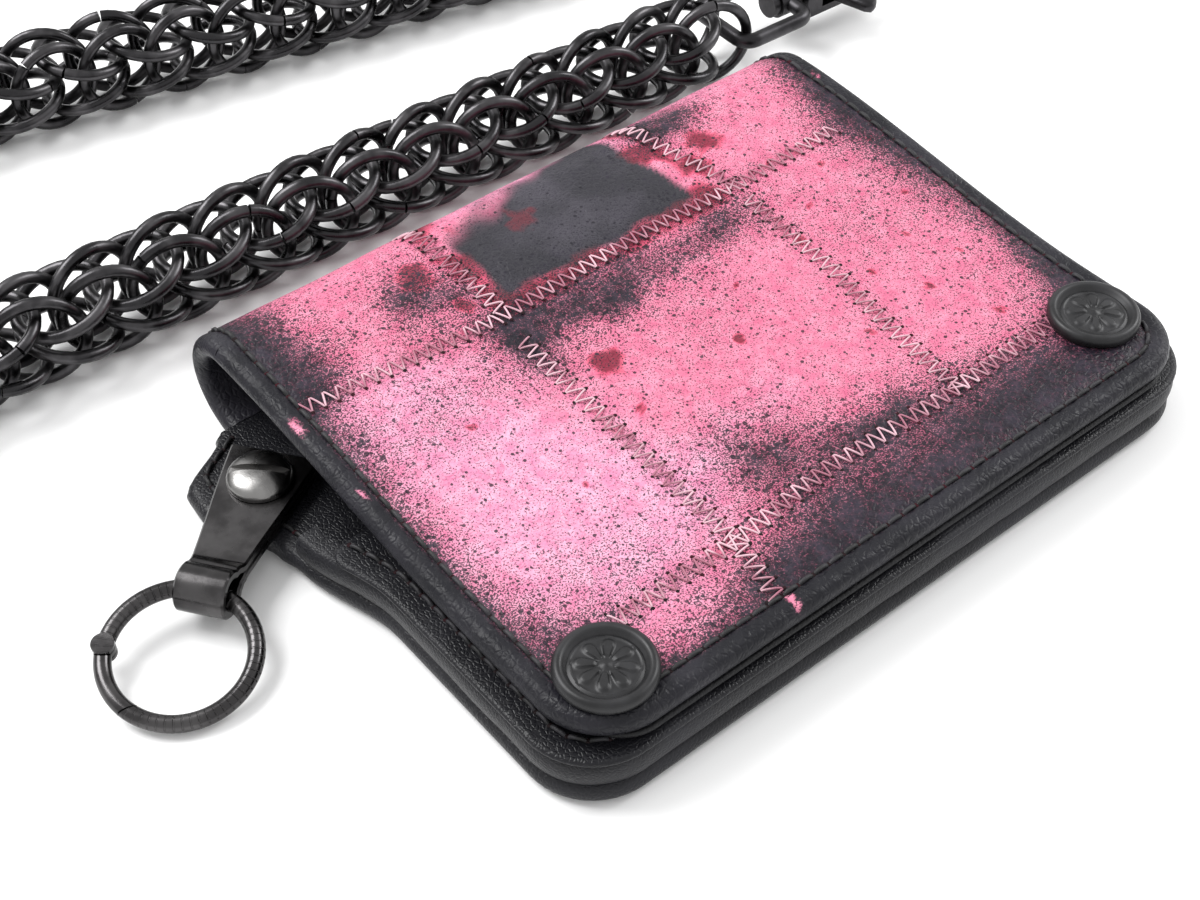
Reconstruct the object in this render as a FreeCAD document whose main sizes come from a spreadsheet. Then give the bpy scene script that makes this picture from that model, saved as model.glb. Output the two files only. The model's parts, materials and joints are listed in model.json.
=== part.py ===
import FreeCAD, Part
import math
import os
import re
import Sketcher

Vector = FreeCAD.Vector
Rotation = FreeCAD.Rotation
Placement = FreeCAD.Placement
X_AXIS = Vector(1, 0, 0)
Y_AXIS = Vector(0, 1, 0)
Z_AXIS = Vector(0, 0, 1)
NO_TURN = Rotation()
ALONG_X = Rotation(Y_AXIS, 90)
ALONG_Y = Rotation(X_AXIS, -90)

# Short biker wallet, closed and lying on its back, with its leash and a box chain beside it.
# Origin: middle of the closed wallet's underside. +X along the snap edge, +Y toward the fold, +Z up.
SIZES = {
    # outer leather
    "width": 114,
    "front_reach": 45.5,
    "fold_reach": 36,
    "cover_thick": 3.4,
    "corner_radius": 10,
    "flap_left": 54.5,
    "flap_right": 55.5,
    "flap_front": 44.5,
    "close_gap": 0.4,
    "flap_flat": 25,
    "flap_mid_rise": 1.2,
    "flap_back_rise": 3.6,
    "fold_rise": 5,
    "patch_thick": 0.8,
    "liner_thick": 0.8,
    "seam_gap": 0.02,
    "spine_play": 0.2,
    # leash wing of the back cover
    "wing_reach": 66,
    "wing_front": 19,
    "wing_back": 31,
    "flare_reach": 60.5,
    "flare_back": 9,
    "flare_front": 8,
    # pockets of the back half
    "layer_play": 0.1,
    "welt_width": 3.4,
    "panel_thick": 1.0,
    "slot_gap": 0.2,
    "pocket_back": 4,
    "slot_step": 8,
    "card_front": 24,
    "notch_side": 48.6,
    "notch_front": 12.4,
    "pocket_end": 29,
    "pocket_radius": 4,
    # snaps
    "snap_left_side": 45.8,
    "snap_left_front": 36.6,
    "snap_right_side": 46.7,
    "snap_right_front": 32.3,
    "cap_radius": 6.55,
    "cap_rise": 1.9,
    "cap_soft": 0.8,
    "post_radius": 1.7,
    "socket_radius": 5.6,
    "socket_height": 2.5,
    "stud_radius": 4.6,
    "nib_radius": 2.1,
    "nib_height": 1.9,
    "rivet_thick": 0.6,
    "snap_play": 0.1,
    # leash plate, screw and key ring
    "screw_side": 57.5,
    "screw_back": 22.3,
    "leash_length": 19,
    "leash_turn": 36.4,
    "leash_tail": 5.2,
    "leash_wide": 13.2,
    "leash_narrow": 6.4,
    "leaf_thick": 1.3,
    "eye_radius": 2.1,
    "eye_wall": 1.2,
    "screw_radius": 2.0,
    "head_radius": 4.6,
    "head_height": 2.2,
    "drive_width": 1.1,
    "drive_depth": 0.9,
    "nut_radius": 5.0,
    "nut_thick": 0.9,
    "leash_play": 0.1,
    "key_radius": 9.57,
    "key_wire": 1.15,
    "key_tilt": 10.9,
    "key_turn": 25,
    "gate_start": 100,
    "gate_sweep": 60,
    "gate_spare": 15,
    "gate_length": 9.6,
    "gate_gap": 0.2,
    "knuckle_radius": 1.5,
    "knuckle_play": 0.15,
    "tongue_thick": 0.9,
    "key_pin_radius": 0.45,
    # box chain
    "link_radius": 7,
    "wire_share": 0.138571,
    "pitch_share": 0.814286,
    "offset_share": 0.4,
    "link_lean": 12.5,
    "chain_side": 57,
    "chain_back": 62.3,
    "chain_heading": 2.1,
    "near_length": 150,
    "turn_radius": 32.5,
    "far_heading": -11,
    # swivel trigger clasps
    "bow_play": 0.33,
    "bow_end": 19,
    "bow_room": 0.415,
    "bow_bend": 2.5,
    "bow_wire": 1.3,
    "boss_radius": 2.8,
    "boss_length": 4.4,
    "swivel_radius": 1.4,
    "swivel_head": 2.3,
    "swivel_head_length": 1.4,
    "swivel_play": 0.12,
    "body_gap": 0.3,
    "body_length": 10.7,
    "body_half": 4,
    "body_thick": 6.4,
    "slot_width": 3.8,
    "slot_depth": 5.2,
    "hook_centre": 38,
    "hook_radius": 6.4,
    "hook_wire": 1.8,
    "hook_nose": 58,
    "hook_root": 165,
    "pivot_along": 27.6,
    "pivot_side": 2.5,
    "pin_radius": 0.9,
    "lever_thick": 2.2,
    "lever_low": 1.7,
    "lever_width": 2.2,
    "gate_reach": 12.4,
    "gate_drop": 1.2,
    "paddle_reach": 8.5,
    "paddle_lean": 3.2,
    "paddle_width": 3.2,
    "spring_radius": 1.75,
    "spring_length": 0.9,
    "trigger_play": 0.1,
}

CHAIN_LENGTHS = [(0, 11), (12, 23), (24, 46), (47, 62), (63, 79)]

doc = FreeCAD.newDocument("chain_wallet")
sheet = doc.addObject("Spreadsheet::Sheet", "Sizes")
for row, (alias, size) in enumerate(SIZES.items(), start=1):
    sheet.set(f"A{row}", alias)
    sheet.set(f"B{row}", str(size))
    sheet.setAlias(f"B{row}", alias)
doc.recompute()


def bound(text):
    """The expression with each size's name pointed at the sheet."""
    return re.sub(r"[a-z_]{3,}", lambda m: f"Sizes.{m.group()}" if m.group() in SIZES else m.group(), text)


def size(text):
    """The present value of an expression in the sizes, in millimetres or degrees."""
    found = sheet.evalExpression(bound(text))
    return float(getattr(found, "Value", found))


def bind(thing, **expressions):
    for name, text in expressions.items():
        thing.setExpression(name, bound(text))
    return thing


def place(thing, along, side, up, turn=NO_TURN):
    """Puts a feature at three expressions, turned by a fixed rotation."""
    thing.Placement = Placement(Vector(size(along), size(side), size(up)), turn)
    for name, text in (("x", along), ("y", side), ("z", up)):
        thing.setExpression(f"Placement.Base.{name}", bound(text))
    return thing


def cylinder(radius, height, along="0", side="0", up="0", turn=NO_TURN):
    rod = bind(doc.addObject("Part::Cylinder", "rod"), Radius=radius, Height=height)
    return place(rod, along, side, up, turn)


def box(length, width, height, along="0", side="0", up="0"):
    block = bind(doc.addObject("Part::Box", "block"), Length=length, Width=width, Height=height)
    return place(block, along, side, up)


def arc_rod(radius, wire, start, sweep, along="0", side="0", up="0", turn=NO_TURN):
    """A piece of a round ring, from the angle start over the angle sweep."""
    ring = bind(doc.addObject("Part::Torus", "bend"), Radius1=radius, Radius2=wire)
    ring.Angle3 = sweep
    return place(ring, along, side, up, turn * Rotation(Z_AXIS, start))


def fuse(shapes, label="joined"):
    joined = doc.addObject("Part::MultiFuse", label)
    joined.Shapes = shapes
    joined.Label = label
    return joined


def cut(base, tool, label="cut"):
    left = doc.addObject("Part::Cut", label)
    left.Base = base
    left.Tool = tool
    left.Label = label
    return left


def common(base, tool, label="shared"):
    shared = doc.addObject("Part::MultiCommon", label)
    shared.Shapes = [base, tool]
    return shared


def compound(shapes, label):
    group = doc.addObject("Part::Compound", label)
    group.Links = shapes
    group.Label = label
    return group


def origin_plane(body, role):
    for feature in body.Origin.OriginFeatures:
        if feature.Role == role:
            return feature


def outline(body, role, points):
    """A closed sketch of straight sides; each corner is a pair of expressions."""
    sketch = body.newObject("Sketcher::SketchObject", "outline")
    sketch.AttachmentSupport = [(origin_plane(body, role), "")]
    sketch.MapMode = "FlatFace"
    spots = [Vector(size(across), size(up), 0) for across, up in points]
    count = len(spots)
    for i in range(count):
        sketch.addGeometry(Part.LineSegment(spots[i], spots[(i + 1) % count]), False)
    for i in range(count):
        sketch.addConstraint(Sketcher.Constraint("Coincident", i, 2, (i + 1) % count, 1))
    for i, (across, up) in enumerate(points):
        for kind, text, now in (("DistanceX", across, spots[i].x), ("DistanceY", up, spots[i].y)):
            at = sketch.addConstraint(Sketcher.Constraint(kind, -1, 1, i, 1, now))
            sketch.setExpression(f"Constraints[{at}]", bound(text))
    return sketch


def circle(body, role, radius, centre):
    sketch = body.newObject("Sketcher::SketchObject", "round")
    sketch.AttachmentSupport = [(origin_plane(body, role), "")]
    sketch.MapMode = "FlatFace"
    spot = Vector(size(centre[0]), size(centre[1]), 0)
    sketch.addGeometry(Part.Circle(spot, Z_AXIS, size(radius)), False)
    for kind, text, now in (("DistanceX", centre[0], spot.x), ("DistanceY", centre[1], spot.y)):
        at = sketch.addConstraint(Sketcher.Constraint(kind, -1, 1, 0, 3, now))
        sketch.setExpression(f"Constraints[{at}]", bound(text))
    at = sketch.addConstraint(Sketcher.Constraint("Radius", 0, size(radius)))
    sketch.setExpression(f"Constraints[{at}]", bound(radius))
    return sketch


def pad(body, sketch, length):
    feature = body.newObject("PartDesign::Pad", "pad")
    feature.Profile = sketch
    bind(feature, Length=length)
    doc.recompute()
    return feature


def pocket(body, sketch, length, reverse=False):
    before = body.Shape.Volume
    feature = body.newObject("PartDesign::Pocket", "pocket")
    feature.Profile = sketch
    feature.Reversed = reverse
    bind(feature, Length=length)
    doc.recompute()
    if not body.Shape.Volume < before - 0.01:
        raise RuntimeError(f"{body.Label}: a pocket cuts nothing")
    return feature


def round_corners(body, base, spots, radius):
    """Rounds the upright edges that stand at the given corners."""
    names = []
    for number, edge in enumerate(base.Shape.Edges, start=1):
        ends = [vertex.Point for vertex in edge.Vertexes]
        upright = len(ends) == 2 and (ends[0] - ends[1]).z != 0
        upright = upright and math.hypot(ends[0].x - ends[1].x, ends[0].y - ends[1].y) < 1e-6
        for across, up in spots:
            spot = Vector(size(across), size(up), ends[0].z)
            if upright and (ends[0] - spot).Length < 1e-4:
                names.append(f"Edge{number}")
    if not names:
        raise RuntimeError(f"{body.Label}: no corner to round")
    feature = body.newObject("PartDesign::Fillet", "rounding")
    feature.Base = (base, names)
    bind(feature, Radius=radius)
    doc.recompute()
    return feature


def new_body(label):
    body = doc.addObject("PartDesign::Body", label)
    body.Label = label
    return body


# Heights of the stacked layers of the back half.
WELT_FLOOR = "cover_thick + layer_play"
WELT_THICK = "3 * panel_thick + 5 * slot_gap"
POCKET_FLOOR = f"{WELT_FLOOR} + {WELT_THICK} + layer_play"
POCKET_TOP = f"{POCKET_FLOOR} + panel_thick"
FLAP_LOW = f"{POCKET_TOP} + close_gap + liner_thick"
FOLD_RADIUS = f"({FLAP_LOW} + fold_rise + cover_thick) / 2"
SOCKET_FLOOR = f"{POCKET_TOP} + 2 * snap_play"
SOCKET_TOP = f"{SOCKET_FLOOR} + socket_height"
SNAPS = [("-snap_left_side", "-snap_left_front"), ("snap_right_side", "-snap_right_front")]
LEFT = "-width / 2"
RIGHT = "width / 2"
FRONT = "-front_reach"
FRONT_CORNERS = [(LEFT, FRONT), (RIGHT, FRONT)]


def back_cover():
    """Outer leather of the back half, with the wing that carries the leash."""
    body = new_body("back_cover")
    points = [
        (LEFT, FRONT), (RIGHT, FRONT), (RIGHT, "fold_reach - spine_play"),
        (LEFT, "fold_reach - spine_play"), ("-wing_reach", "wing_back"), ("-wing_reach", "wing_front"),
        ("-flare_reach", "flare_back"), (LEFT, "-flare_front"),
    ]
    plate = pad(body, outline(body, "XY_Plane", points), "cover_thick")
    front = round_corners(body, plate, FRONT_CORNERS, "corner_radius")
    round_corners(body, front, [points[4], points[5]], "corner_radius / 2")
    hole = circle(body, "XY_Plane", "screw_radius + leash_play", ("-screw_side", "screw_back"))
    pocket(body, hole, "cover_thick", reverse=True)
    seat = circle(body, "XY_Plane", "nut_radius + leash_play", ("-screw_side", "screw_back"))
    pocket(body, seat, "nut_thick + leash_play", reverse=True)
    return body


def fold_spine():
    """Outer leather round the fold: half a tube between the two halves."""
    length = "flap_left + flap_right"
    outer = cylinder(FOLD_RADIUS, length, turn=ALONG_X)
    inner = cylinder(f"{FOLD_RADIUS} - cover_thick", length, turn=ALONG_X)
    tube = cut(outer, inner)
    beyond = f"{FOLD_RADIUS} + 1"
    front = box(length, beyond, f"2 * ({beyond})", "0", f"-({beyond})", f"-({beyond})")
    return place(cut(tube, front, "fold_spine"), "-flap_left", "fold_reach", FOLD_RADIUS)


def flap_points(low, high):
    """Section of a flap layer between two heights above the flap's underside, front to fold."""
    stations = [
        ("-flap_front", FLAP_LOW),
        ("-flap_flat", FLAP_LOW),
        ("0", f"{FLAP_LOW} + flap_mid_rise"),
        ("fold_reach / 2", f"{FLAP_LOW} + flap_back_rise"),
        ("fold_reach - spine_play", f"{FLAP_LOW} + fold_rise"),
    ]
    under = [(along, f"{up} + {low}") for along, up in stations]
    over = [(along, f"{up} + {high}") for along, up in reversed(stations)]
    return under + over


def flap_layer(label, low, high, hole_radius, margin="0"):
    """One leather layer of the flap, with a round hole at each snap."""
    body = new_body(label)
    length = f"flap_left + flap_right - 2 * ({margin})"
    layer = pad(body, outline(body, "YZ_Plane", flap_points(low, high)), length)
    corners = [("0", "-flap_front"), (length, "-flap_front")]
    round_corners(body, layer, corners, f"corner_radius - ({margin})")
    for side, front in SNAPS:
        centre = (f"{side} + flap_left - ({margin})", front)
        pocket(body, circle(body, "XY_Plane", hole_radius, centre), f"3 * {FOLD_RADIUS}", reverse=True)
    return place(body, f"-flap_left + {margin}", "0", "0")


def front_cover():
    """Base leather of the flap, recessed underneath for the snap sockets."""
    body = flap_layer("front_cover", "0", "cover_thick - patch_thick", "post_radius + snap_play")
    for side, front in SNAPS:
        seat = circle(body, "XY_Plane", "socket_radius + 2 * snap_play", (f"{side} + flap_left", front))
        pocket(body, seat, SOCKET_TOP, reverse=True)
    return body


def pocket_welt():
    """Leather strip round three sides that makes the pockets thick."""
    body = new_body("pocket_welt")
    points = [
        (LEFT, FRONT), (RIGHT, FRONT), (RIGHT, "pocket_end"),
        ("width / 2 - welt_width", "pocket_end"),
        ("width / 2 - welt_width", "-front_reach + welt_width"),
        ("-width / 2 + welt_width", "-front_reach + welt_width"),
        ("-width / 2 + welt_width", "-flare_front"),
        ("-flare_reach + welt_width", "flare_back"), ("-flare_reach", "flare_back"), (LEFT, "-flare_front"),
    ]
    strip = pad(body, outline(body, "XY_Plane", points), WELT_THICK)
    outside = round_corners(body, strip, FRONT_CORNERS, "corner_radius")
    inside = [points[4], points[5]]
    round_corners(body, outside, inside, "corner_radius - welt_width")
    return place(body, "0", "0", WELT_FLOOR)


def inner_panel(label, up, back, front):
    """A thin pocket panel inside the welt, cut away round the leash."""
    body = new_body(label)
    inset = "(welt_width + slot_gap)"
    left = f"-width / 2 + {inset}"
    right = f"width / 2 - {inset}"
    points = [
        (left, front), (right, front), (right, back), ("-notch_side", back),
        ("-notch_side", "notch_front"), (left, "-flare_front"),
    ]
    panel = pad(body, outline(body, "XY_Plane", points), "panel_thick")
    round_corners(body, panel, points[:2], f"corner_radius - {inset}")
    return place(body, "0", "0", up)


def panel_floor(number):
    """Height of the underside of a pocket panel, counted from the lowest."""
    return f"{WELT_FLOOR} + {3 + number} * slot_gap + {number} * panel_thick"


def pocket_cover():
    """Top leather of the back half, holding the snap studs."""
    body = new_body("pocket_cover")
    points = [
        (LEFT, FRONT), (RIGHT, FRONT), (RIGHT, "pocket_back"), ("-flare_reach", "pocket_back"),
        (LEFT, "-flare_front"),
    ]
    panel = pad(body, outline(body, "XY_Plane", points), "panel_thick")
    front = round_corners(body, panel, FRONT_CORNERS, "corner_radius")
    round_corners(body, front, [points[2], points[3]], "pocket_radius")
    for centre in SNAPS:
        hole = circle(body, "XY_Plane", "post_radius + snap_play", centre)
        pocket(body, hole, "panel_thick", reverse=True)
    return place(body, "0", "0", POCKET_FLOOR)


def at_snaps(maker, label):
    """A group of one solid at each snap."""
    return compound([maker(side, front) for side, front in SNAPS], label)


def snap_cap(side, front):
    """Domed cap with the hollow post that goes through the flap."""
    top = f"{FLAP_LOW} + cover_thick"
    rim = cylinder("cap_radius", "cap_rise - cap_soft", side, front, top)
    dome = bind(doc.addObject("Part::Cone", "dome"), Radius1="cap_radius", Radius2="cap_radius - cap_soft",
                Height="cap_soft")
    place(dome, side, front, f"{top} + cap_rise - cap_soft")
    post = cylinder("post_radius", f"{top} - ({SOCKET_TOP}) + cap_soft", side, front, SOCKET_TOP)
    return fuse([rim, dome, post])


def snap_socket(side, front):
    """Spring socket under the flap, bored for the stud's nib."""
    ring = cylinder("socket_radius", "socket_height - snap_play", side, front, SOCKET_FLOOR)
    bore = cylinder("nib_radius + snap_play", "nib_height + 2 * snap_play", side, front, SOCKET_FLOOR)
    return cut(ring, bore)


def snap_stud(side, front):
    """Stud on the pocket cover: a flat base and a round nib."""
    base = cylinder("stud_radius", "snap_play", side, front, POCKET_TOP)
    nib = cylinder("nib_radius", "nib_height", side, front, POCKET_TOP)
    return fuse([base, nib])


def snap_rivet(side, front):
    """Rivet under the pocket cover whose shank holds the stud."""
    head = cylinder("stud_radius", "rivet_thick", side, front, f"{POCKET_FLOOR} - rivet_thick")
    shank = cylinder("post_radius", "panel_thick", side, front, POCKET_FLOOR)
    return fuse([head, shank])


LEASH_TURN = Rotation(Z_AXIS, 180 + size("leash_turn"))
LEAF_FLOOR = "cover_thick + leash_play"
LEAF_MIDDLE = f"{LEAF_FLOOR} + leaf_thick"


def leash_plate():
    """Tapered strap folded round the key ring, both leaves clamped by the screw."""
    body = new_body("leash_plate")
    near = "-leash_tail"
    end = "leash_length + eye_radius + eye_wall"
    side = [(near, "-leaf_thick"), ("leash_length", "-leaf_thick"), ("leash_length", "leaf_thick"),
            (near, "leaf_thick")]
    leaves = pad(body, outline(body, "XZ_Plane", side), "leash_wide / 2")
    leaves.Midplane = True
    bind(leaves, Length="leash_wide")
    eye = circle(body, "XZ_Plane", "eye_radius + eye_wall", ("leash_length", "0"))
    knuckle = pad(body, eye, "leash_wide")
    knuckle.Midplane = True
    bore = circle(body, "XZ_Plane", "eye_radius", ("leash_length", "0"))
    hollow = pocket(body, bore, "leash_wide")
    hollow.Midplane = True
    for sign in ("", "-"):
        wedge = [(near, f"{sign}leash_wide / 2"), (f"{end} + 1", f"{sign}leash_narrow / 2"),
                 (f"{end} + 1", f"{sign}leash_wide"), (near, f"{sign}leash_wide")]
        taper = pocket(body, outline(body, "XY_Plane", wedge), "4 * eye_radius")
        taper.Midplane = True
    hole = pocket(body, circle(body, "XY_Plane", "screw_radius + leash_play", ("0", "0")), "4 * leaf_thick")
    hole.Midplane = True
    doc.recompute()
    return place(body, "-screw_side", "screw_back", LEAF_MIDDLE, LEASH_TURN)


def leash_screw():
    """Slotted dome-head screw through leash and leather."""
    head_floor = f"{LEAF_FLOOR} + 2 * leaf_thick + leash_play"
    shank = cylinder("screw_radius", f"{head_floor} - nut_thick", "0", "0", "nut_thick")
    low = cylinder("head_radius", "head_height / 2", "0", "0", head_floor)
    dome = bind(doc.addObject("Part::Cone", "dome"), Radius1="head_radius", Radius2="head_radius * 0.6",
                Height="head_height / 2")
    place(dome, "0", "0", f"{head_floor} + head_height / 2")
    solid = fuse([shank, low, dome])
    slot = box("drive_width", "2 * head_radius", "drive_depth + 1", "-drive_width / 2", "-head_radius",
               f"{head_floor} + head_height - drive_depth")
    return place(cut(solid, slot, "leash_screw"), "-screw_side", "screw_back", "0")


def leash_nut():
    """Flat back nut let into the underside of the cover."""
    nut = cylinder("nut_radius", "nut_thick", "-screw_side", "screw_back", "0")
    nut.Label = "leash_nut"
    return nut


def key_place():
    """Pose of the key ring: through the leash's eye, its far side down on the table."""
    along = LEASH_TURN.multVec(X_AXIS)
    eye = Vector(-size("screw_side"), size("screw_back"), size(LEAF_MIDDLE)) + along * size("leash_length")
    uphill = Rotation(Z_AXIS, size("key_turn")).multVec(along * -1)
    tilt = Rotation(uphill.cross(Z_AXIS), size("key_tilt"))
    toward = tilt.multVec(along * -1)
    facing = tilt.multVec(Z_AXIS)
    turn = Rotation(toward, facing.cross(toward), facing, "ZXY")
    return Placement(eye - toward * size("key_radius"), turn)


def knuckle(radius, low, height):
    """Round hinge knuckle of the key ring's gate, upright at the pivot."""
    angle = math.radians(size("gate_start"))
    reach = size("key_radius")
    ring = cylinder(radius, height, "0", "0", low)
    ring.Placement.Base.x = reach * math.cos(angle)
    ring.Placement.Base.y = reach * math.sin(angle)
    ring.setExpression("Placement.Base.x", bound("key_radius * cos(gate_start * 1 deg)"))
    ring.setExpression("Placement.Base.y", bound("key_radius * sin(gate_start * 1 deg)"))
    return ring


def gate_wire(wire, length):
    """Ring wire from the gate's pivot out to an end face that is round about the pivot."""
    rod = arc_rod("key_radius", wire, size("gate_start"), size("gate_sweep + gate_spare"))
    end = knuckle(length, "-2 * key_wire", "4 * key_wire")
    return common(rod, end)


def key_ring():
    """Round wire ring, open over the gate, with a forked knuckle at one end."""
    start = size("gate_start + gate_sweep - gate_spare")
    sweep = 360 - size("gate_sweep - gate_spare")
    room = gate_wire("key_wire + gate_gap", "gate_length + gate_gap")
    wire = cut(arc_rod("key_radius", "key_wire", start, sweep), room)
    fork = knuckle("knuckle_radius", "-key_wire - knuckle_play", "2 * key_wire + 2 * knuckle_play")
    tongue = "tongue_thick + 2 * knuckle_play"
    gap = knuckle("knuckle_radius + knuckle_play", f"-({tongue}) / 2", tongue)
    bore = knuckle("key_pin_radius", "-2 * key_wire", "4 * key_wire")
    ring = cut(cut(fuse([wire, fork]), gap), bore, "key_ring")
    ring.Placement = key_place()
    return ring


def key_ring_gate():
    """Spring gate of the key ring, with its tongue between the fork's cheeks."""
    wire = gate_wire("key_wire", "gate_length")
    tongue = knuckle("knuckle_radius", "-tongue_thick / 2", "tongue_thick")
    cheek = "tongue_thick / 2"
    upper = knuckle("knuckle_radius + knuckle_play", cheek, "2 * key_wire")
    lower = knuckle("knuckle_radius + knuckle_play", f"-({cheek}) - 2 * key_wire", "2 * key_wire")
    bore = knuckle("key_pin_radius + knuckle_play / 2", "-2 * key_wire", "4 * key_wire")
    gate = cut(fuse([cut(cut(wire, upper), lower), tongue]), bore, "key_ring_gate")
    gate.Placement = key_place()
    return gate


def key_ring_pin():
    length = "2 * key_wire + 2 * knuckle_play"
    pin = compound([knuckle("key_pin_radius", "-key_wire - knuckle_play", length)], "key_ring_pin")
    pin.Placement = key_place()
    return pin


# The weave only closes in one proportion, so wire, pitch and offset follow the link's radius.
LINK_WIRE = "link_radius * wire_share"
LINK_PITCH = "link_radius * pitch_share"
LINK_OFFSET = "link_radius * offset_share"
BOW_START = f"link_radius - {LINK_WIRE} - bow_wire - bow_play"
BOW_HALF = f"({LINK_OFFSET} + link_radius * sin(link_lean * 1 deg) + {LINK_WIRE} + bow_wire + bow_room)"


def chain_station(distance):
    """Middle of the chain and its direction, at a distance from the near clasp."""
    heading = math.radians(180 - size("chain_heading"))
    spot = Vector(size("chain_side"), size("chain_back"), size(f"link_radius + {LINK_WIRE}"))
    straight = min(distance, size("near_length"))
    spot += Vector(math.cos(heading), math.sin(heading), 0) * straight
    radius = size("turn_radius")
    whole = heading - math.radians(size("far_heading"))
    turned = min(max(distance - size("near_length"), 0) / radius, whole)
    centre = spot + Vector(math.sin(heading), -math.cos(heading), 0) * radius
    heading -= turned
    spot = centre - Vector(math.sin(heading), -math.cos(heading), 0) * radius
    rest = max(distance - size("near_length") - radius * whole, 0)
    spot += Vector(math.cos(heading), math.sin(heading), 0) * rest
    return spot, Vector(math.cos(heading), math.sin(heading), 0)


def link_pair(number):
    """Two leaning rings of the weave: upright pairs and flat pairs take turns."""
    spot, forward = chain_station(number * size(LINK_PITCH))
    back = forward * -1
    across = Z_AXIS.cross(back)
    spread = across if number % 2 == 0 else Z_AXIS
    lean = math.radians(size("link_lean"))
    rings = []
    for sign in (1, -1):
        ring = bind(doc.addObject("Part::Torus", "link"), Radius1="link_radius", Radius2=LINK_WIRE)
        first = back * math.cos(lean) + spread * (sign * math.sin(lean))
        second = Z_AXIS if number % 2 == 0 else across
        facing = first.cross(second)
        turn = Rotation(first, second, facing, "ZXY")
        ring.Placement = Placement(spot + spread * (sign * size(LINK_OFFSET)), turn)
        rings.append(ring)
    return rings


def chain_lengths():
    """The chain, as lengths of links that lie together."""
    lengths = []
    for count, (first, last) in enumerate(CHAIN_LENGTHS, start=1):
        rings = [ring for number in range(first, last + 1) for ring in link_pair(number)]
        lengths.append(compound(rings, f"chain_length_{count}"))
    return lengths


def clasp_bow(label):
    """Bent-rod eye of a clasp, through the last links, with the swivel boss on its far bar."""
    flat = f"{BOW_HALF} - bow_bend"
    length = f"bow_end - ({BOW_START}) - 2 * bow_bend"
    bend_start = f"{BOW_START} + bow_bend"
    parts = []
    for along in (BOW_START, "bow_end"):
        parts.append(cylinder("bow_wire", f"2 * ({flat})", along, f"-({flat})", "0", ALONG_Y))
    for side in (BOW_HALF, f"-{BOW_HALF}"):
        parts.append(cylinder("bow_wire", length, bend_start, side, "0", ALONG_X))
    for along, side, start in (
        ("bow_end - bow_bend", flat, 0), (bend_start, flat, 90),
        (bend_start, f"-({flat})", 180), ("bow_end - bow_bend", f"-({flat})", 270),
    ):
        parts.append(arc_rod("bow_bend", "bow_wire", start, 90, along, side))
    parts.append(cylinder("boss_radius", "boss_length", "bow_end - boss_length / 2", "0", "0", ALONG_X))
    bore_start = "bow_end - boss_length"
    bore = cylinder("swivel_radius + swivel_play", "2 * boss_length", bore_start, "0", "0", ALONG_X)
    return cut(fuse(parts), bore, label)


BODY_START = "bow_end + boss_length / 2 + body_gap"


def clasp_swivel(label):
    """Headed post on which the hook turns in the eye."""
    head_start = "bow_end - boss_length / 2 - swivel_play - swivel_head_length"
    head = cylinder("swivel_head", "swivel_head_length", head_start, "0", "0", ALONG_X)
    post = cylinder("swivel_radius", f"{BODY_START} + 2 - ({head_start})", head_start, "0", "0", ALONG_X)
    return fuse([head, post], label)


def clasp_hook(label):
    """Hook body: a slotted block for the trigger and a round hook."""
    block = box("body_length", "2 * body_half", "body_thick", BODY_START, "-body_half", "-body_thick / 2")
    sweep = size("hook_root + hook_nose")
    hook = arc_rod("hook_radius", "hook_wire", -size("hook_nose"), sweep, "hook_centre")
    whole = fuse([block, hook])
    slot_start = "pivot_along - slot_depth / 2"
    slot = box("body_length + 2", "body_half + pivot_side - trigger_play", "slot_width", slot_start,
               "-body_half - pivot_side", "-slot_width / 2")
    pin_hole = cylinder("pin_radius", "2 * body_thick", "pivot_along", "-pivot_side", "-body_thick")
    post_hole = cylinder("swivel_radius", "2", BODY_START, "0", "0", ALONG_X)
    return cut(cut(cut(whole, slot), pin_hole), post_hole, label)


def clasp_trigger(label):
    """Thumb lever: a round hub, a gate arm up to the hook's nose and a paddle out to the side."""
    body = new_body(label)
    half = "lever_width / 2"
    arm = [
        ("0", f"-{half}"), ("gate_reach", f"-gate_drop - {half}"), ("gate_reach", f"-gate_drop + {half}"),
        ("0", half),
    ]
    pad(body, outline(body, "XY_Plane", arm), "lever_thick")
    pad(body, circle(body, "XY_Plane", half, ("0", "0")), "lever_thick")
    paddle = [
        ("-lever_width / 2", "0"), ("paddle_lean - paddle_width / 2", "-paddle_reach"),
        ("paddle_lean + paddle_width / 2", "-paddle_reach"), ("lever_width / 2", "0"),
    ]
    pad(body, outline(body, "XY_Plane", paddle), "lever_thick")
    bore = circle(body, "XY_Plane", "pin_radius + trigger_play", ("0", "0"))
    pocket(body, bore, "lever_thick", reverse=True)
    return place(body, "pivot_along", "-pivot_side", "-lever_low")


def clasp_pin(label):
    pin = cylinder("pin_radius", "body_thick", "pivot_along", "-pivot_side", "-body_thick / 2")
    return compound([pin], label)


def clasp_spring(label):
    """Closed-wound torsion spring on the pin, drawn as a sleeve."""
    low = "slot_width / 2 - spring_length - trigger_play"
    coil = cylinder("spring_radius", "spring_length", "pivot_along", "-pivot_side", low)
    bore = cylinder("pin_radius + trigger_play", "spring_length", "pivot_along", "-pivot_side", low)
    return cut(coil, bore, label)


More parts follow.
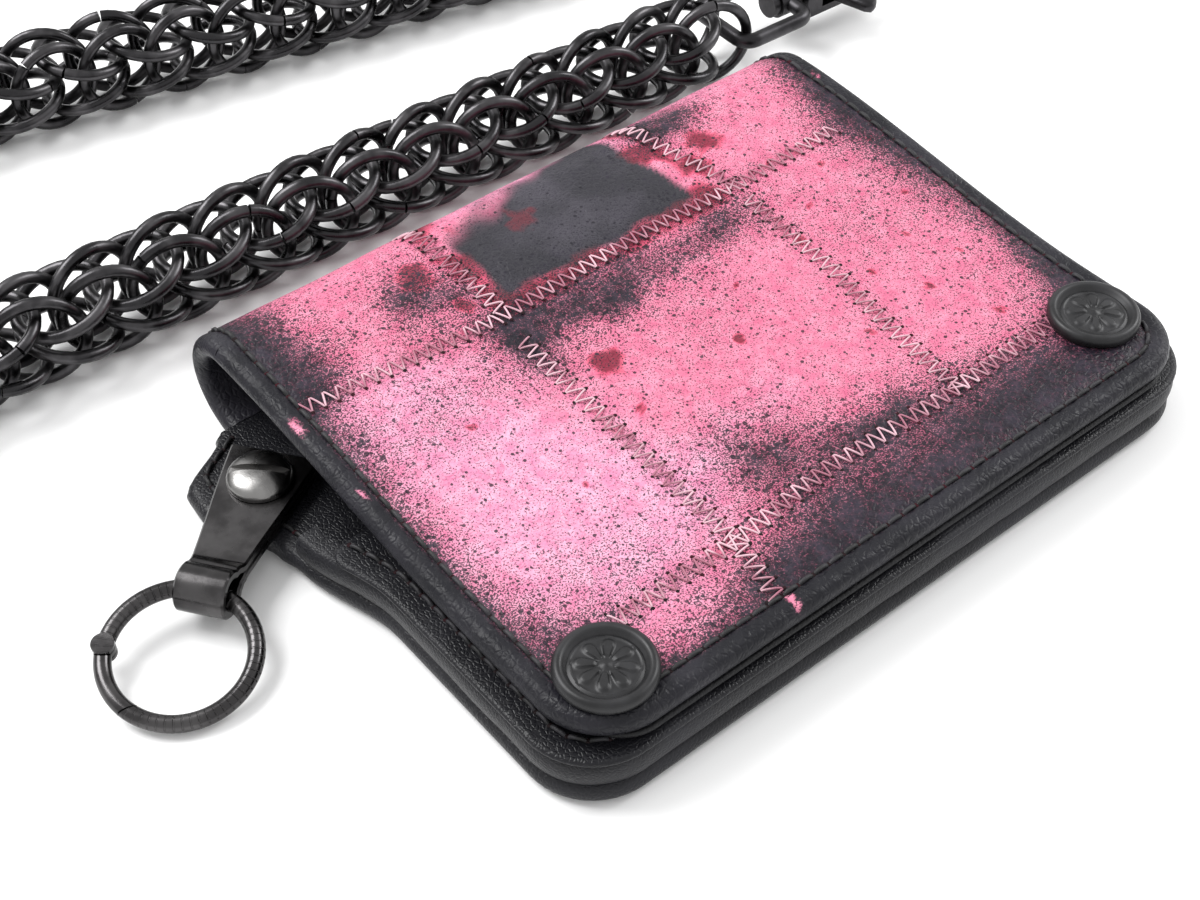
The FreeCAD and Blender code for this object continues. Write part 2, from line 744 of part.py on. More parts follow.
def clasp(name, first_link, outward):
    """A whole clasp whose eye hangs in the chain's last pair of links."""
    spot, forward = chain_station(first_link * size(LINK_PITCH))
    heading = math.degrees(math.atan2(forward.y, forward.x)) + (0 if outward > 0 else 180)
    pose = Placement(spot, Rotation(Z_AXIS, heading))
    makers = [
        ("bow", clasp_bow), ("swivel", clasp_swivel), ("hook", clasp_hook), ("trigger", clasp_trigger),
        ("pin", clasp_pin), ("spring", clasp_spring),
    ]
    parts = []
    for kind, maker in makers:
        part = maker(f"{name}_{kind}")
        for axis in "xyz":
            part.setExpression(f"Placement.Base.{axis}", None)
        part.Placement = pose * part.Placement
        parts.append(part)
    return parts


parts = [
    back_cover(),
    fold_spine(),
    front_cover(),
    flap_layer("patchwork_front", "cover_thick - patch_thick", "cover_thick", "post_radius + snap_play"),
    flap_layer("front_liner", "-liner_thick", "-seam_gap", "socket_radius + 2 * snap_play", "welt_width"),
    pocket_welt(),
    inner_panel("bill_wall", panel_floor(0), "pocket_back + 3 * slot_step",
                "-front_reach + welt_width + slot_gap"),
    inner_panel("card_slot_1", panel_floor(1), "pocket_back + 2 * slot_step", "-card_front"),
    inner_panel("card_slot_2", panel_floor(2), "pocket_back + slot_step", "-card_front"),
    pocket_cover(),
    at_snaps(snap_cap, "snap_caps"),
    at_snaps(snap_socket, "snap_sockets"),
    at_snaps(snap_stud, "snap_studs"),
    at_snaps(snap_rivet, "snap_rivets"),
    leash_plate(),
    leash_screw(),
    leash_nut(),
    key_ring(),
    key_ring_gate(),
    key_ring_pin(),
]
parts += chain_lengths()
parts += clasp("near_clasp", 0, -1)
parts += clasp("far_clasp", CHAIN_LENGTHS[-1][1], 1)

doc.recompute()
for thing in doc.Objects:
    if "Invalid" in thing.State or "Error" in thing.State:
        raise RuntimeError(f"{thing.Label}: {thing.State}")
for part in parts:
    if part.Shape.isNull() or not part.Shape.isValid():
        raise RuntimeError(f"{part.Label}: no valid shape")
os.makedirs("parts", exist_ok=True)
for part in parts:
    part.Shape.exportStep(f"parts/{part.Label}.step")
print(f"{len(parts)} parts written")
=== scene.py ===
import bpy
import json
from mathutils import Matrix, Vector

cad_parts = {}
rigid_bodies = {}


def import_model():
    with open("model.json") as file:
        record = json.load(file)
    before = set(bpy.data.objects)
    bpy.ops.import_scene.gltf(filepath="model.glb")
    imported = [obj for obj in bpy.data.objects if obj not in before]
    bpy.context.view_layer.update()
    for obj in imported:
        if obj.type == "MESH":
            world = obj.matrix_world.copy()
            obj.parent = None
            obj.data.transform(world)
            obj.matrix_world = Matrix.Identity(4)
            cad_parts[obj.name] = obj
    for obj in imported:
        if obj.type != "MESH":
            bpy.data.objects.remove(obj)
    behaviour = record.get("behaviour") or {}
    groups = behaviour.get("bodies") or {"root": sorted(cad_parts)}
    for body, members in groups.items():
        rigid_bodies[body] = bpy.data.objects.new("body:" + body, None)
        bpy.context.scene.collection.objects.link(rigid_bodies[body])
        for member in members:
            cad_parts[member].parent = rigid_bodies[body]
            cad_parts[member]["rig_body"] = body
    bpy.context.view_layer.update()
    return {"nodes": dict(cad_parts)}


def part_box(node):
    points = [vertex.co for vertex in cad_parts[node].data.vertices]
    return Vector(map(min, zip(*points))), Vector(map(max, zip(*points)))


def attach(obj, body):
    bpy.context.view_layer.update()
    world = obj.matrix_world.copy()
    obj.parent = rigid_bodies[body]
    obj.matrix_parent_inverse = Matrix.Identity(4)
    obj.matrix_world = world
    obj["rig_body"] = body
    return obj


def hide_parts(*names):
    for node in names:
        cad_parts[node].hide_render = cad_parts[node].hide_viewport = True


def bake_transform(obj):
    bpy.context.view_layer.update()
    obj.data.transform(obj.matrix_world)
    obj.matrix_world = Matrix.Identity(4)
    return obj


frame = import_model()

import json
import math
from functools import partial

import bmesh
import bpy
from mathutils import Matrix, Vector, noise

MM = 0.001
nodes_of = frame["nodes"]

# Table, light and camera. The wallet lies on a plain white table under two soft boxes and a bright room.
# The camera stands to the left of the snap edge and looks down at the wallet at about 46 degrees.
bpy.context.scene.view_settings.view_transform = "Standard"
world = bpy.data.worlds.new("room")
bpy.context.scene.world = world
world.use_nodes = True
room = world.node_tree.nodes["Background"]
room.inputs["Color"].default_value = (1.0, 1.0, 1.0, 1.0)
room.inputs["Strength"].default_value = 0.95


def soft_box(name, place, aim, side, power):
    """A square soft light that faces a point."""
    light = bpy.data.lights.new(name, "AREA")
    light.size = side
    light.energy = power
    lamp = bpy.data.objects.new(name, light)
    lamp.location = place
    lamp.rotation_euler = (Vector(aim) - Vector(place)).to_track_quat("-Z", "Y").to_euler()
    bpy.context.scene.collection.objects.link(lamp)


soft_box("window_light", (-0.35, 0.55, 0.75), (0, 0, 0), 0.5, 9)
soft_box("side_light", (0.75, -0.1, 0.55), (0, 0, 0), 0.35, 4)

TABLE_HALF = 3.0
TABLE_GAP = 0.0002
table_mesh = bpy.data.meshes.new("table")
table_mesh.from_pydata([(-TABLE_HALF, -TABLE_HALF, 0), (TABLE_HALF, -TABLE_HALF, 0),
                        (TABLE_HALF, TABLE_HALF, 0), (-TABLE_HALF, TABLE_HALF, 0)], [], [(0, 1, 2, 3)])
table = bpy.data.objects.new("table", table_mesh)
table.location.z = -TABLE_GAP
bpy.context.scene.collection.objects.link(table)
table_paint = bpy.data.materials.new("table_white")
table_paint.use_nodes = True
table_shader = table_paint.node_tree.nodes["Principled BSDF"]
table_shader.inputs["Base Color"].default_value = (0.93, 0.93, 0.93, 1)
table_shader.inputs["Roughness"].default_value = 0.55
table_mesh.materials.append(table_paint)

CAMERA_PLACE = (-0.13101, -0.13973, 0.18786)
CAMERA_TURN = math.radians(-39.3)
CAMERA_RISE = math.radians(45.74)
CAMERA_ROLL = math.radians(-0.19)
lens_back = Vector((math.sin(CAMERA_TURN) * math.cos(CAMERA_RISE),
                    -math.cos(CAMERA_TURN) * math.cos(CAMERA_RISE), math.sin(CAMERA_RISE)))
lens_right = Vector((math.cos(CAMERA_TURN), math.sin(CAMERA_TURN), 0))
lens_up = lens_back.cross(lens_right)
camera_data = bpy.data.cameras.new("camera")
camera_data.sensor_width = 36
camera_data.lens = 55.7
camera_data.clip_start = 0.01
camera = bpy.data.objects.new("camera", camera_data)
lens_turn = Matrix((lens_right, lens_up, lens_back)).transposed() @ Matrix.Rotation(CAMERA_ROLL, 3, "Z")
camera.matrix_world = Matrix.Translation(CAMERA_PLACE) @ lens_turn.to_4x4()
bpy.context.scene.collection.objects.link(camera)
bpy.context.scene.camera = camera


# Black leather of the covers, edges and pockets: vegetable-tanned hide dyed black, with a fine pebbled
# grain, burnished round the edges and a little greyer where it has been handled.
def feed(tree, made, sources):
    """Feeds a node's inputs, each from a socket or with a plain value."""
    for place, value in sources.items():
        if isinstance(value, bpy.types.NodeSocket):
            tree.links.new(value, made.inputs[place])
        else:
            made.inputs[place].default_value = value


def node(tree, kind, sources=(), **settings):
    """Adds a node, sets its properties and inputs by name, and feeds it from its sources."""
    made = tree.nodes.new(kind)
    for name, value in settings.items():
        if hasattr(made, name):
            setattr(made, name, value)
        else:
            made.inputs[name.replace("_", " ")].default_value = value
    feed(tree, made, dict(sources))
    return made


def first_out(tree, kind, sources=(), **settings):
    """Adds a node and gives its first output."""
    return node(tree, kind, sources, **settings).outputs[0]


def mix_colours(tree, amount, first, second):
    """Mixes two colours; each may be a socket or a plain colour."""
    return node(tree, "ShaderNodeMix", {0: amount, 6: first, 7: second}, data_type="RGBA").outputs[2]


def calculate(tree, operation, *values):
    return first_out(tree, "ShaderNodeMath", enumerate(values), operation=operation)


def arithmetic(tree):
    """Plus, minus and times for the sockets and numbers of one tree."""
    return [partial(calculate, tree, word) for word in ("ADD", "SUBTRACT", "MULTIPLY")]


def remap(tree, value, low, high, out_low=0.0, out_high=1.0):
    """Smooth step of a value from one range to another."""
    limits = {"Value": value, "From Min": low, "From Max": high, "To Min": out_low, "To Max": out_high}
    return first_out(tree, "ShaderNodeMapRange", limits, interpolation_type="SMOOTHSTEP")


def noise_texture(tree, place, scale, detail, roughness=0.5, distortion=0.0):
    return first_out(tree, "ShaderNodeTexNoise", {"Vector": place}, Scale=scale, Detail=detail,
                     Roughness=roughness, Distortion=distortion)


def grain_group():
    """Leather grain: small pebbles, pores and long soft creases, as a height and a wear mask."""
    group = bpy.data.node_groups.new("leather_grain", "ShaderNodeTree")
    group.interface.new_socket("Vector", in_out="INPUT", socket_type="NodeSocketVector")
    for name, way in (("Pebble", "INPUT"), ("Height", "OUTPUT"), ("Wear", "OUTPUT")):
        group.interface.new_socket(name, in_out=way, socket_type="NodeSocketFloat")
    plus, _, times = arithmetic(group)
    given = group.nodes.new("NodeGroupInput").outputs
    place = given["Vector"]
    pebbles = first_out(group, "ShaderNodeTexVoronoi", {"Vector": place, "Scale": given["Pebble"]},
                        feature="DISTANCE_TO_EDGE")
    pores = noise_texture(group, place, 2600.0, 3.0)
    creases = noise_texture(group, place, 140.0, 5.0, distortion=1.2)
    patches = noise_texture(group, place, 60.0, 4.0)
    pebbled = plus(remap(group, pebbles, 0.0, 0.25), times(pores, 0.35))
    node(group, "NodeGroupOutput", {"Height": plus(pebbled, remap(group, creases, 0.47, 0.52, 0.0, 0.5)),
                                    "Wear": remap(group, patches, 0.42, 0.72)})
    return group


LEATHER_GRAIN = grain_group()


def new_material(name):
    """A material with its tree, its shader and the place on the object."""
    material = bpy.data.materials.new(name)
    material.use_nodes = True
    tree = material.node_tree
    return material, tree, tree.nodes["Principled BSDF"], node(tree, "ShaderNodeTexCoord").outputs["Object"]


def bump(tree, shader, height, strength, depth, below=None):
    """Feeds a height into the shader's normal, over an earlier bump if one is given."""
    sources = {"Height": height, "Normal": below} if below else {"Height": height}
    made = first_out(tree, "ShaderNodeBump", sources, Strength=strength, Distance=depth)
    tree.links.new(made, shader.inputs["Normal"])
    return made


def black_leather(name, dark, worn, pebble, roughness):
    material, tree, shader, place = new_material(name)
    grain = node(tree, "ShaderNodeGroup", node_tree=LEATHER_GRAIN)
    feed(tree, grain, {"Vector": place, "Pebble": pebble})
    wear = grain.outputs["Wear"]
    feed(tree, shader, {"Base Color": mix_colours(tree, wear, (*dark, 1), (*worn, 1)),
                        "Roughness": remap(tree, wear, 0, 1, roughness, roughness + 0.14),
                        "Specular IOR Level": 0.26})
    bump(tree, shader, grain.outputs["Height"], 0.5, 0.00008)
    return material


COVER_LEATHER = black_leather("cover_leather", (0.006, 0.006, 0.008), (0.018, 0.018, 0.022), 1700.0, 0.36)
LINING_LEATHER = black_leather("lining_leather", (0.006, 0.006, 0.007), (0.014, 0.014, 0.016), 1400.0, 0.5)


# Flap: base leather with the patchwork sewn on it, one thick sheet with rounded burnished edges. It rises
# from the snap edge to the fold, and the patches pull in a little along their seams.
BACK_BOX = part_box("back_cover")
FLAP_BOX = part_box("front_cover")
SPINE_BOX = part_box("fold_spine")
FLAP_LEFT, FLAP_RIGHT = FLAP_BOX[0][0], FLAP_BOX[1][0]
FLAP_FRONT = FLAP_BOX[0][1]
FOLD_Y = SPINE_BOX[0][1]
FLAP_UNDER = FLAP_BOX[0][2]
SHEET_THICK = BACK_BOX[1][2] - BACK_BOX[0][2]
FOLD_TOP = SPINE_BOX[1][2]
FOLD_RADIUS = FOLD_TOP / 2
CORNER = 10 * MM
EDGE_ROUND = 1.6 * MM
FLAP_FLAT = -25 * MM
FLAP_STEP = 0.8 * MM
SEAM_ALONG = (18.8 * MM, -30.2 * MM)
SEAM_ACROSS = (-20 * MM, 25 * MM)
STITCH_INSET = 3.3 * MM
GROOVE_DEEP, GROOVE_WIDE = 0.38 * MM, 0.9 * MM
STITCH_SINK, STITCH_WIDE = 0.3 * MM, 0.55 * MM
SETTLED = 0.2 * MM


def smooth(low, high, value):
    """0 below low, 1 above high, and an even curve between."""
    share = min(max((value - low) / (high - low), 0), 1)
    return share * share * (3 - 2 * share)


def bell(distance, width):
    """1 at no distance, falling away over about a width."""
    return math.exp(-(distance / width) ** 2)


def wander(x, y, scale, seed):
    """Slow noise over the sheet, from -1 to 1, with its features about scale metres wide."""
    return noise.noise(Vector((x / scale, y / scale, seed)))


def flap_under(y):
    return FLAP_UNDER + (FOLD_TOP - SHEET_THICK - FLAP_UNDER) * smooth(FLAP_FLAT, FOLD_Y, y)


def seam_paths():
    """The patchwork's seams, as lists of (x, y) points that a ruler would not quite match."""
    left, right = FLAP_LEFT + STITCH_INSET, FLAP_RIGHT - STITCH_INSET
    upper, lower = SEAM_ALONG
    first, second = SEAM_ACROSS
    front = FLAP_FRONT + STITCH_INSET
    return {
        "seam_upper_left": [(left, upper + 1 * MM), (first, upper - 1 * MM)],
        "seam_upper_middle": [(first, upper - 1 * MM), (6 * MM, upper + 0.4 * MM), (second, upper)],
        "seam_upper_right": [(second, upper), (right - 6 * MM, upper + 1 * MM)],
        "seam_lower_left": [(left + 11 * MM, lower - 1 * MM), (first, lower - 0.8 * MM)],
        "seam_lower_right": [(first, lower - 0.8 * MM), (-2 * MM, lower + 1 * MM),
                             (19 * MM, lower + 0.5 * MM), (42 * MM, lower + 1.3 * MM)],
        "seam_left_back": [(first + 0.6 * MM, FOLD_Y - 0.5 * MM), (first + 1 * MM, upper)],
        "seam_left_middle": [(first, upper - 6 * MM), (first + 0.4 * MM, -14 * MM), (first, lower)],
        "seam_left_front": [(first, lower), (first - 2.4 * MM, front)],
        "seam_right_back": [(second - 4 * MM, FOLD_Y - 0.5 * MM), (second, upper)],
        "seam_right_front": [(second - 0.4 * MM, upper - 3 * MM), (second, -2 * MM),
                             (second - 3.2 * MM, lower)],
    }


SEAMS = seam_paths()
FOLD_SEAM = 26 * MM
SEAMS["fold_left"] = [SEAMS["seam_left_back"][0], (SEAM_ACROSS[0], FOLD_Y + FOLD_SEAM)]
SEAMS["fold_right"] = [SEAMS["seam_right_back"][0], (SEAM_ACROSS[1] - 6 * MM, FOLD_Y + FOLD_SEAM)]


def seam_distance(x, y):
    """Distance from a point to the nearest seam."""
    nearest = 1.0
    for path in SEAMS.values():
        for (ax, ay), (bx, by) in zip(path, path[1:]):
            dx, dy = bx - ax, by - ay
            share = min(max(((x - ax) * dx + (y - ay) * dy) / (dx * dx + dy * dy), 0), 1)
            nearest = min(nearest, math.hypot(x - ax - share * dx, y - ay - share * dy))
    return nearest


def flap_relief(x, y, edge):
    """How far the flap's outside stands above its plain profile."""
    seam = seam_distance(x, y)
    groove = -GROOVE_DEEP * bell(seam, GROOVE_WIDE)
    pillow = 0.22 * MM * smooth(0, 8 * MM, seam)
    stitch_line = -STITCH_SINK * bell(edge - STITCH_INSET, STITCH_WIDE)
    waves = 0.30 * MM * wander(x, y, 17 * MM, 1.0) + 0.10 * MM * wander(x, y, 5 * MM, 2.0)
    calm = smooth(1.0 * MM, 6 * MM, edge) * smooth(0, 6 * MM, FOLD_Y - y)
    return (groove + waves + pillow - SETTLED) * calm + stitch_line * smooth(0, 3 * MM, FOLD_Y - y)


CORNER_STEPS = 12


def straight(start, end, count):
    """Points along a line, its start left out."""
    return [(start[0] + (end[0] - start[0]) * k / count, start[1] + (end[1] - start[1]) * k / count)
            for k in range(1, count + 1)]


def quarter(across, along, radius, start, steps):
    """Points round a quarter circle from a start angle in degrees; a negative step count goes clockwise."""
    angles = [math.radians(start) + math.pi / 2 * k / steps for k in range(abs(steps) + 1)]
    return [(across + radius * math.cos(angle), along + radius * math.sin(angle)) for angle in angles]


def rounded_ring(low, high, radii, inset, counts):
    """Points round a rectangle with four corner radii, moved in by inset, anticlockwise."""
    (x0, y0), (x1, y1) = low, high
    x0, y0, x1, y1 = x0 + inset, y0 + inset, x1 - inset, y1 - inset
    bends = []
    for (x, y, start, sx, sy), corner in zip(
            ((x0, y0, 180, 1, 1), (x1, y0, 270, -1, 1), (x1, y1, 0, -1, -1), (x0, y1, 90, 1, -1)), radii):
        radius = max(corner - inset, 0)
        bends.append(quarter(x + sx * radius, y + sy * radius, radius, start, CORNER_STEPS))
    ring = []
    for number, bend in enumerate(bends):
        ring += bend + straight(bend[-1], bends[(number + 1) % 4][0], counts[number % 2])[:-1]
    return ring


def finish_mesh(name, points, faces, material, smooth_angle=50):
    """Makes an object of points and faces, with doubles merged and smooth shading up to an angle."""
    mesh = bpy.data.meshes.new(name)
    mesh.from_pydata([tuple(point) for point in points], [], faces)
    work = bmesh.new()
    work.from_mesh(mesh)
    bmesh.ops.remove_doubles(work, verts=work.verts, dist=2e-6)
    bmesh.ops.dissolve_degenerate(work, edges=work.edges, dist=1e-6)
    bmesh.ops.recalc_face_normals(work, faces=work.faces)
    for face in work.faces:
        face.smooth = True
    limit = math.radians(smooth_angle)
    for edge in work.edges:
        if len(edge.link_faces) == 2 and edge.calc_face_angle(0) > limit:
            edge.smooth = False
    work.to_mesh(mesh)
    work.free()
    mesh.materials.append(material)
    made = bpy.data.objects.new(name, mesh)
    bpy.context.scene.collection.objects.link(made)
    return made


def ring_faces(rows, count, capped=False):
    """Quads between rows of count points, each row closed on itself, and the two ends if capped."""
    faces = [(row * count + k, row * count + (k + 1) % count, (row + 1) * count + (k + 1) % count,
              (row + 1) * count + k) for row in range(rows - 1) for k in range(count)]
    if capped:
        faces += [tuple(range(count)), tuple(range(rows * count - 1, rows * count - count - 1, -1))]
    return faces


def leather_sheet(name, low, high, radii, under, over, edge_round, material, step=1.0 * MM, shift=None,
                  square_back=False):
    """A sheet of leather with its rim rounded over; under(x, y) and over(x, y, edge) give its two faces."""
    width, depth = high[0] - low[0], high[1] - low[1]
    counts = (max(int(width / step), 4), max(int(depth / step), 4))
    half = min(width, depth) / 2
    rim_steps = 6
    insets = [edge_round * (1 - math.cos(math.pi / 2 * k / rim_steps)) for k in range(rim_steps + 1)]
    inside = edge_round + step
    while inside < half - 0.2 * step:
        insets.append(inside)
        inside += step
    insets.append(half)
    points, faces = [], []

    def add_ring(inset, top):
        ring = rounded_ring(low, high, radii, inset, counts)
        first = len(points)
        for x, y in ring:
            at_fold = square_back and abs(y - (high[1] - inset)) < 1e-7
            edge = min(x - low[0], high[0] - x) if at_fold else inset
            fall = math.sqrt(max(1 - (1 - min(edge / edge_round, 1)) ** 2, 0))
            bottom, ceiling = under(x, y), over(x, y, edge)
            middle = (bottom + ceiling) / 2
            height = (ceiling if top else bottom) - middle
            px, py = shift(x, y) if shift else (x, y)
            points.append((px, py, middle + height * fall))
        return first, len(ring)

    def bridge(first, second, count, flip):
        for k in range(count):
            j = (k + 1) % count
            quad = (first + k, first + j, second + j, second + k)
            faces.append(quad[::-1] if flip else quad)

    starts = {}
    for top in (True, False):
        starts[top] = [add_ring(inset, top) for inset in insets]
        for (first, count), (second, _) in zip(starts[top], starts[top][1:]):
            bridge(first, second, count, not top)
    bridge(starts[False][0][0], starts[True][0][0], starts[True][0][1], False)
    return finish_mesh(name, points, faces, material)


def flap_edge(x, y):
    """Distance from a point of the flap to its nearest cut edge."""
    across = min(x - FLAP_LEFT, FLAP_RIGHT - x)
    along = y - FLAP_FRONT
    if across < CORNER and along < CORNER:
        return CORNER - math.hypot(CORNER - across, CORNER - along)
    return min(across, along)


def flap_top(x, y):
    return flap_under(y) + SHEET_THICK + flap_relief(x, y, flap_edge(x, y))


# Patchwork dye: rose-pink hide sprayed with black ink through a fine spatter round the edges and seams, with
# one smooth charcoal patch, crimson pooled round that patch and a few crimson drops.
# Clouds are (across, along, half width, half length, depth) in millimetres, and drops and tufts are
# (across, along, radius).
INK_CLOUDS = [
    (-10, -39.5, 16, 7.5, 0.95), (26, -38, 18, 8.5, 0.95), (54, -24, 10, 16, 0.95), (54, 24, 7, 14, 0.9),
    (-51, 27, 7, 12, 0.9), (-6, 13.5, 16, 6, 0.85), (-7, -23, 9, 8, 0.7), (9, -27, 10, 5, 0.75),
    (-46, -34, 7, 10, 0.7), (17, 14, 9, 5, 0.65), (25, 37, 9, 5, 0.85), (-27, 27, 8, 7, 0.7),
    (-19, 13, 6, 7, 0.7), (45, -40, 15, 7, 0.9),
    (-38, 58, 20, 8, 0.95), (30, 60, 26, 8, 0.95), (36, 3, 8, 9, 0.22), (-37, 8, 12, 5, 0.25),
    (-32, -25, 10, 7, 0.22), (3, 2, 9, 7, 0.15),
]
CRIMSON_DROPS = [
    (-13.4, 2.8, 2.9), (-14.9, -6.3, 1.0), (4.7, -4.7, 1.1), (-5.5, 32.0, 3.2), (22.5, 26.0, 3.2),
    (27.5, 29.5, 3.4), (-25, 31, 3.4), (-22.5, 22.5, 2.0), (17, 33, 3),
    (49.2, 14.6, 0.8), (38.9, 14.9, 0.8), (38.8, -3.3, 0.9), (42.8, -10.5, 0.8), (38, -22.8, 0.8),
    (33.8, -13.1, 0.8), (20.4, -14.4, 0.9), (25.3, 5, 0.9), (31, 9, 0.7), (29, -6, 0.7), (45, 3, 0.7),
    (33, 20, 0.7), (-35, 4, 0.8), (-29, -12, 0.6), (11, 3, 0.6),
]
PATCH_LEFT, PATCH_RIGHT, PATCH_FRONT, PATCH_BACK = -17, 19, 20, 37
# Highlight clouds are painted highlight: ovals (across, along, half width, half length, strength) where the
# pink is made lighter, as if light fell on it.
HIGHLIGHT_CLOUDS = [(-37, -8, 17, 24, 1.0), (-28, -20, 14, 12, 0.8), (-44, 12, 10, 9, 0.6), (8, 42, 30, 7, 0.6),
               (-4, -15, 12, 7, 0.4)]
DYE_AND_HIGHLIGHT_LEVELS = ("ink", "charcoal", "crimson", "band", "painted_highlight")
BARE_TUFTS = [(-53.3, 17.7, 0.9), (-52.8, 3.7, 0.6), (-21.4, -42.8, 1.0), (-50.0, -38.8, 0.8),
              (53.4, 31, 0.6)]


def cloud(x, y, clouds):
    """How deep a point (in mm) lies in any of a list of soft oval clouds."""
    clear = 1.0
    for cx, cy, rx, ry, depth in clouds:
        clear *= 1 - depth * bell(math.hypot((x - cx) / rx, (y - cy) / ry), 1)
    return 1 - clear


def ink_level(x, y, edge):
    """Blackness of the spray at a point in metres, from 0 to 1."""
    mx, my = x / MM, y / MM
    ragged = 3.4 * wander(x, y, 10 * MM, 3.0) + 1.8 * wander(x, y, 3.5 * MM, 4.0)
    left_fade = 7 + 6 * smooth(10, 34, my)
    right_fade = 9 + 3 * math.sin(my / 9)
    front_fade = 8 + 7 * smooth(-25, 0, mx) * (1 - smooth(34, 48, mx) * 0.4)
    reach = min((mx - FLAP_LEFT / MM) / left_fade, (FLAP_RIGHT / MM - mx) / right_fade,
                (my - FLAP_FRONT / MM) / front_fade)
    rim = (1 - min(max((reach + ragged * 0.05 - 0.1) / 1.35, 0), 1)) ** 1.25
    seam = 0.14 * bell(seam_distance(x, y), 2.6 * MM)
    spray = cloud(mx + ragged, my - ragged, INK_CLOUDS)
    return rim + (1 - rim) * min(spray + seam, 1.0) if edge > 0 else 1.0


def charcoal_level(x, y):
    mx, my = x / MM, y / MM
    rough = 1.1 * wander(x, y, 6 * MM, 5.0)
    inside = min(mx - PATCH_LEFT, PATCH_RIGHT - 0.18 * (my - PATCH_FRONT) - mx, my - PATCH_FRONT) + rough
    fading = PATCH_BACK + 0.35 * (mx - PATCH_LEFT) - my + 3 * wander(x, y, 5 * MM, 14.0)
    return smooth(-0.3, 0.9, inside) * smooth(-1, 6, fading)


def crimson_level(x, y):
    mx, my = x / MM, y / MM
    rough = 1.6 * wander(x, y, 4 * MM, 6.0)
    ragged = 0.45 * wander(x, y, 1.7 * MM, 9.0) + 0.3 * wander(x, y, 4 * MM, 10.0)
    gap = max(PATCH_LEFT - mx, mx - PATCH_RIGHT, PATCH_FRONT - my)
    halo = bell(gap - 0.9 + rough, 2.6) * smooth(-0.3, 0.3, wander(x, y, 7 * MM, 7.0) + 0.2)
    if my < PATCH_FRONT - 6 or my > 50 or mx < PATCH_LEFT - 8 or mx > PATCH_RIGHT + 12:
        halo = 0.0
    along_seam = 0.34 * bell(seam_distance(x, y), 1.5 * MM) * smooth(-0.2, 0.4, wander(x, y, 9 * MM, 15.0))
    drops = max(1 - smooth(0.3 * r, 1.3 * r, math.hypot(mx - cx, my - cy) + ragged * r)
                for cx, cy, r in CRIMSON_DROPS)
    return max(halo, drops, along_seam)


def paint_patchwork(mesh, unroll):
    """Stores the dye and the painted highlight on the mesh; unroll gives a vertex's flat place, edge
    distance and outside flag.
    """
    rows = []
    for vertex in mesh.vertices:
        x, y, edge, outside = unroll(vertex)
        waved = edge + 0.5 * MM * wander(x, y, 4 * MM, 8.0)
        band = 1 - smooth(STITCH_INSET - 0.6 * MM, STITCH_INSET + 0.5 * MM, waved)
        covered = min(smooth(0.5 * r, 1.0 * r, math.hypot(x / MM - cx, 0.5 * (y / MM - cy))
                             + 0.7 * r * wander(x, y, 0.9 * MM, 13.0)) for cx, cy, r in BARE_TUFTS)
        rows.append((ink_level(x, y, edge) * covered, charcoal_level(x, y), crimson_level(x, y),
                     band * covered if outside else 1.0, cloud(x / MM, y / MM, HIGHLIGHT_CLOUDS)))
    for name, levels in zip(DYE_AND_HIGHLIGHT_LEVELS, zip(*rows)):
        mesh.attributes.new(name, "FLOAT", "POINT").data.foreach_set("value", levels)


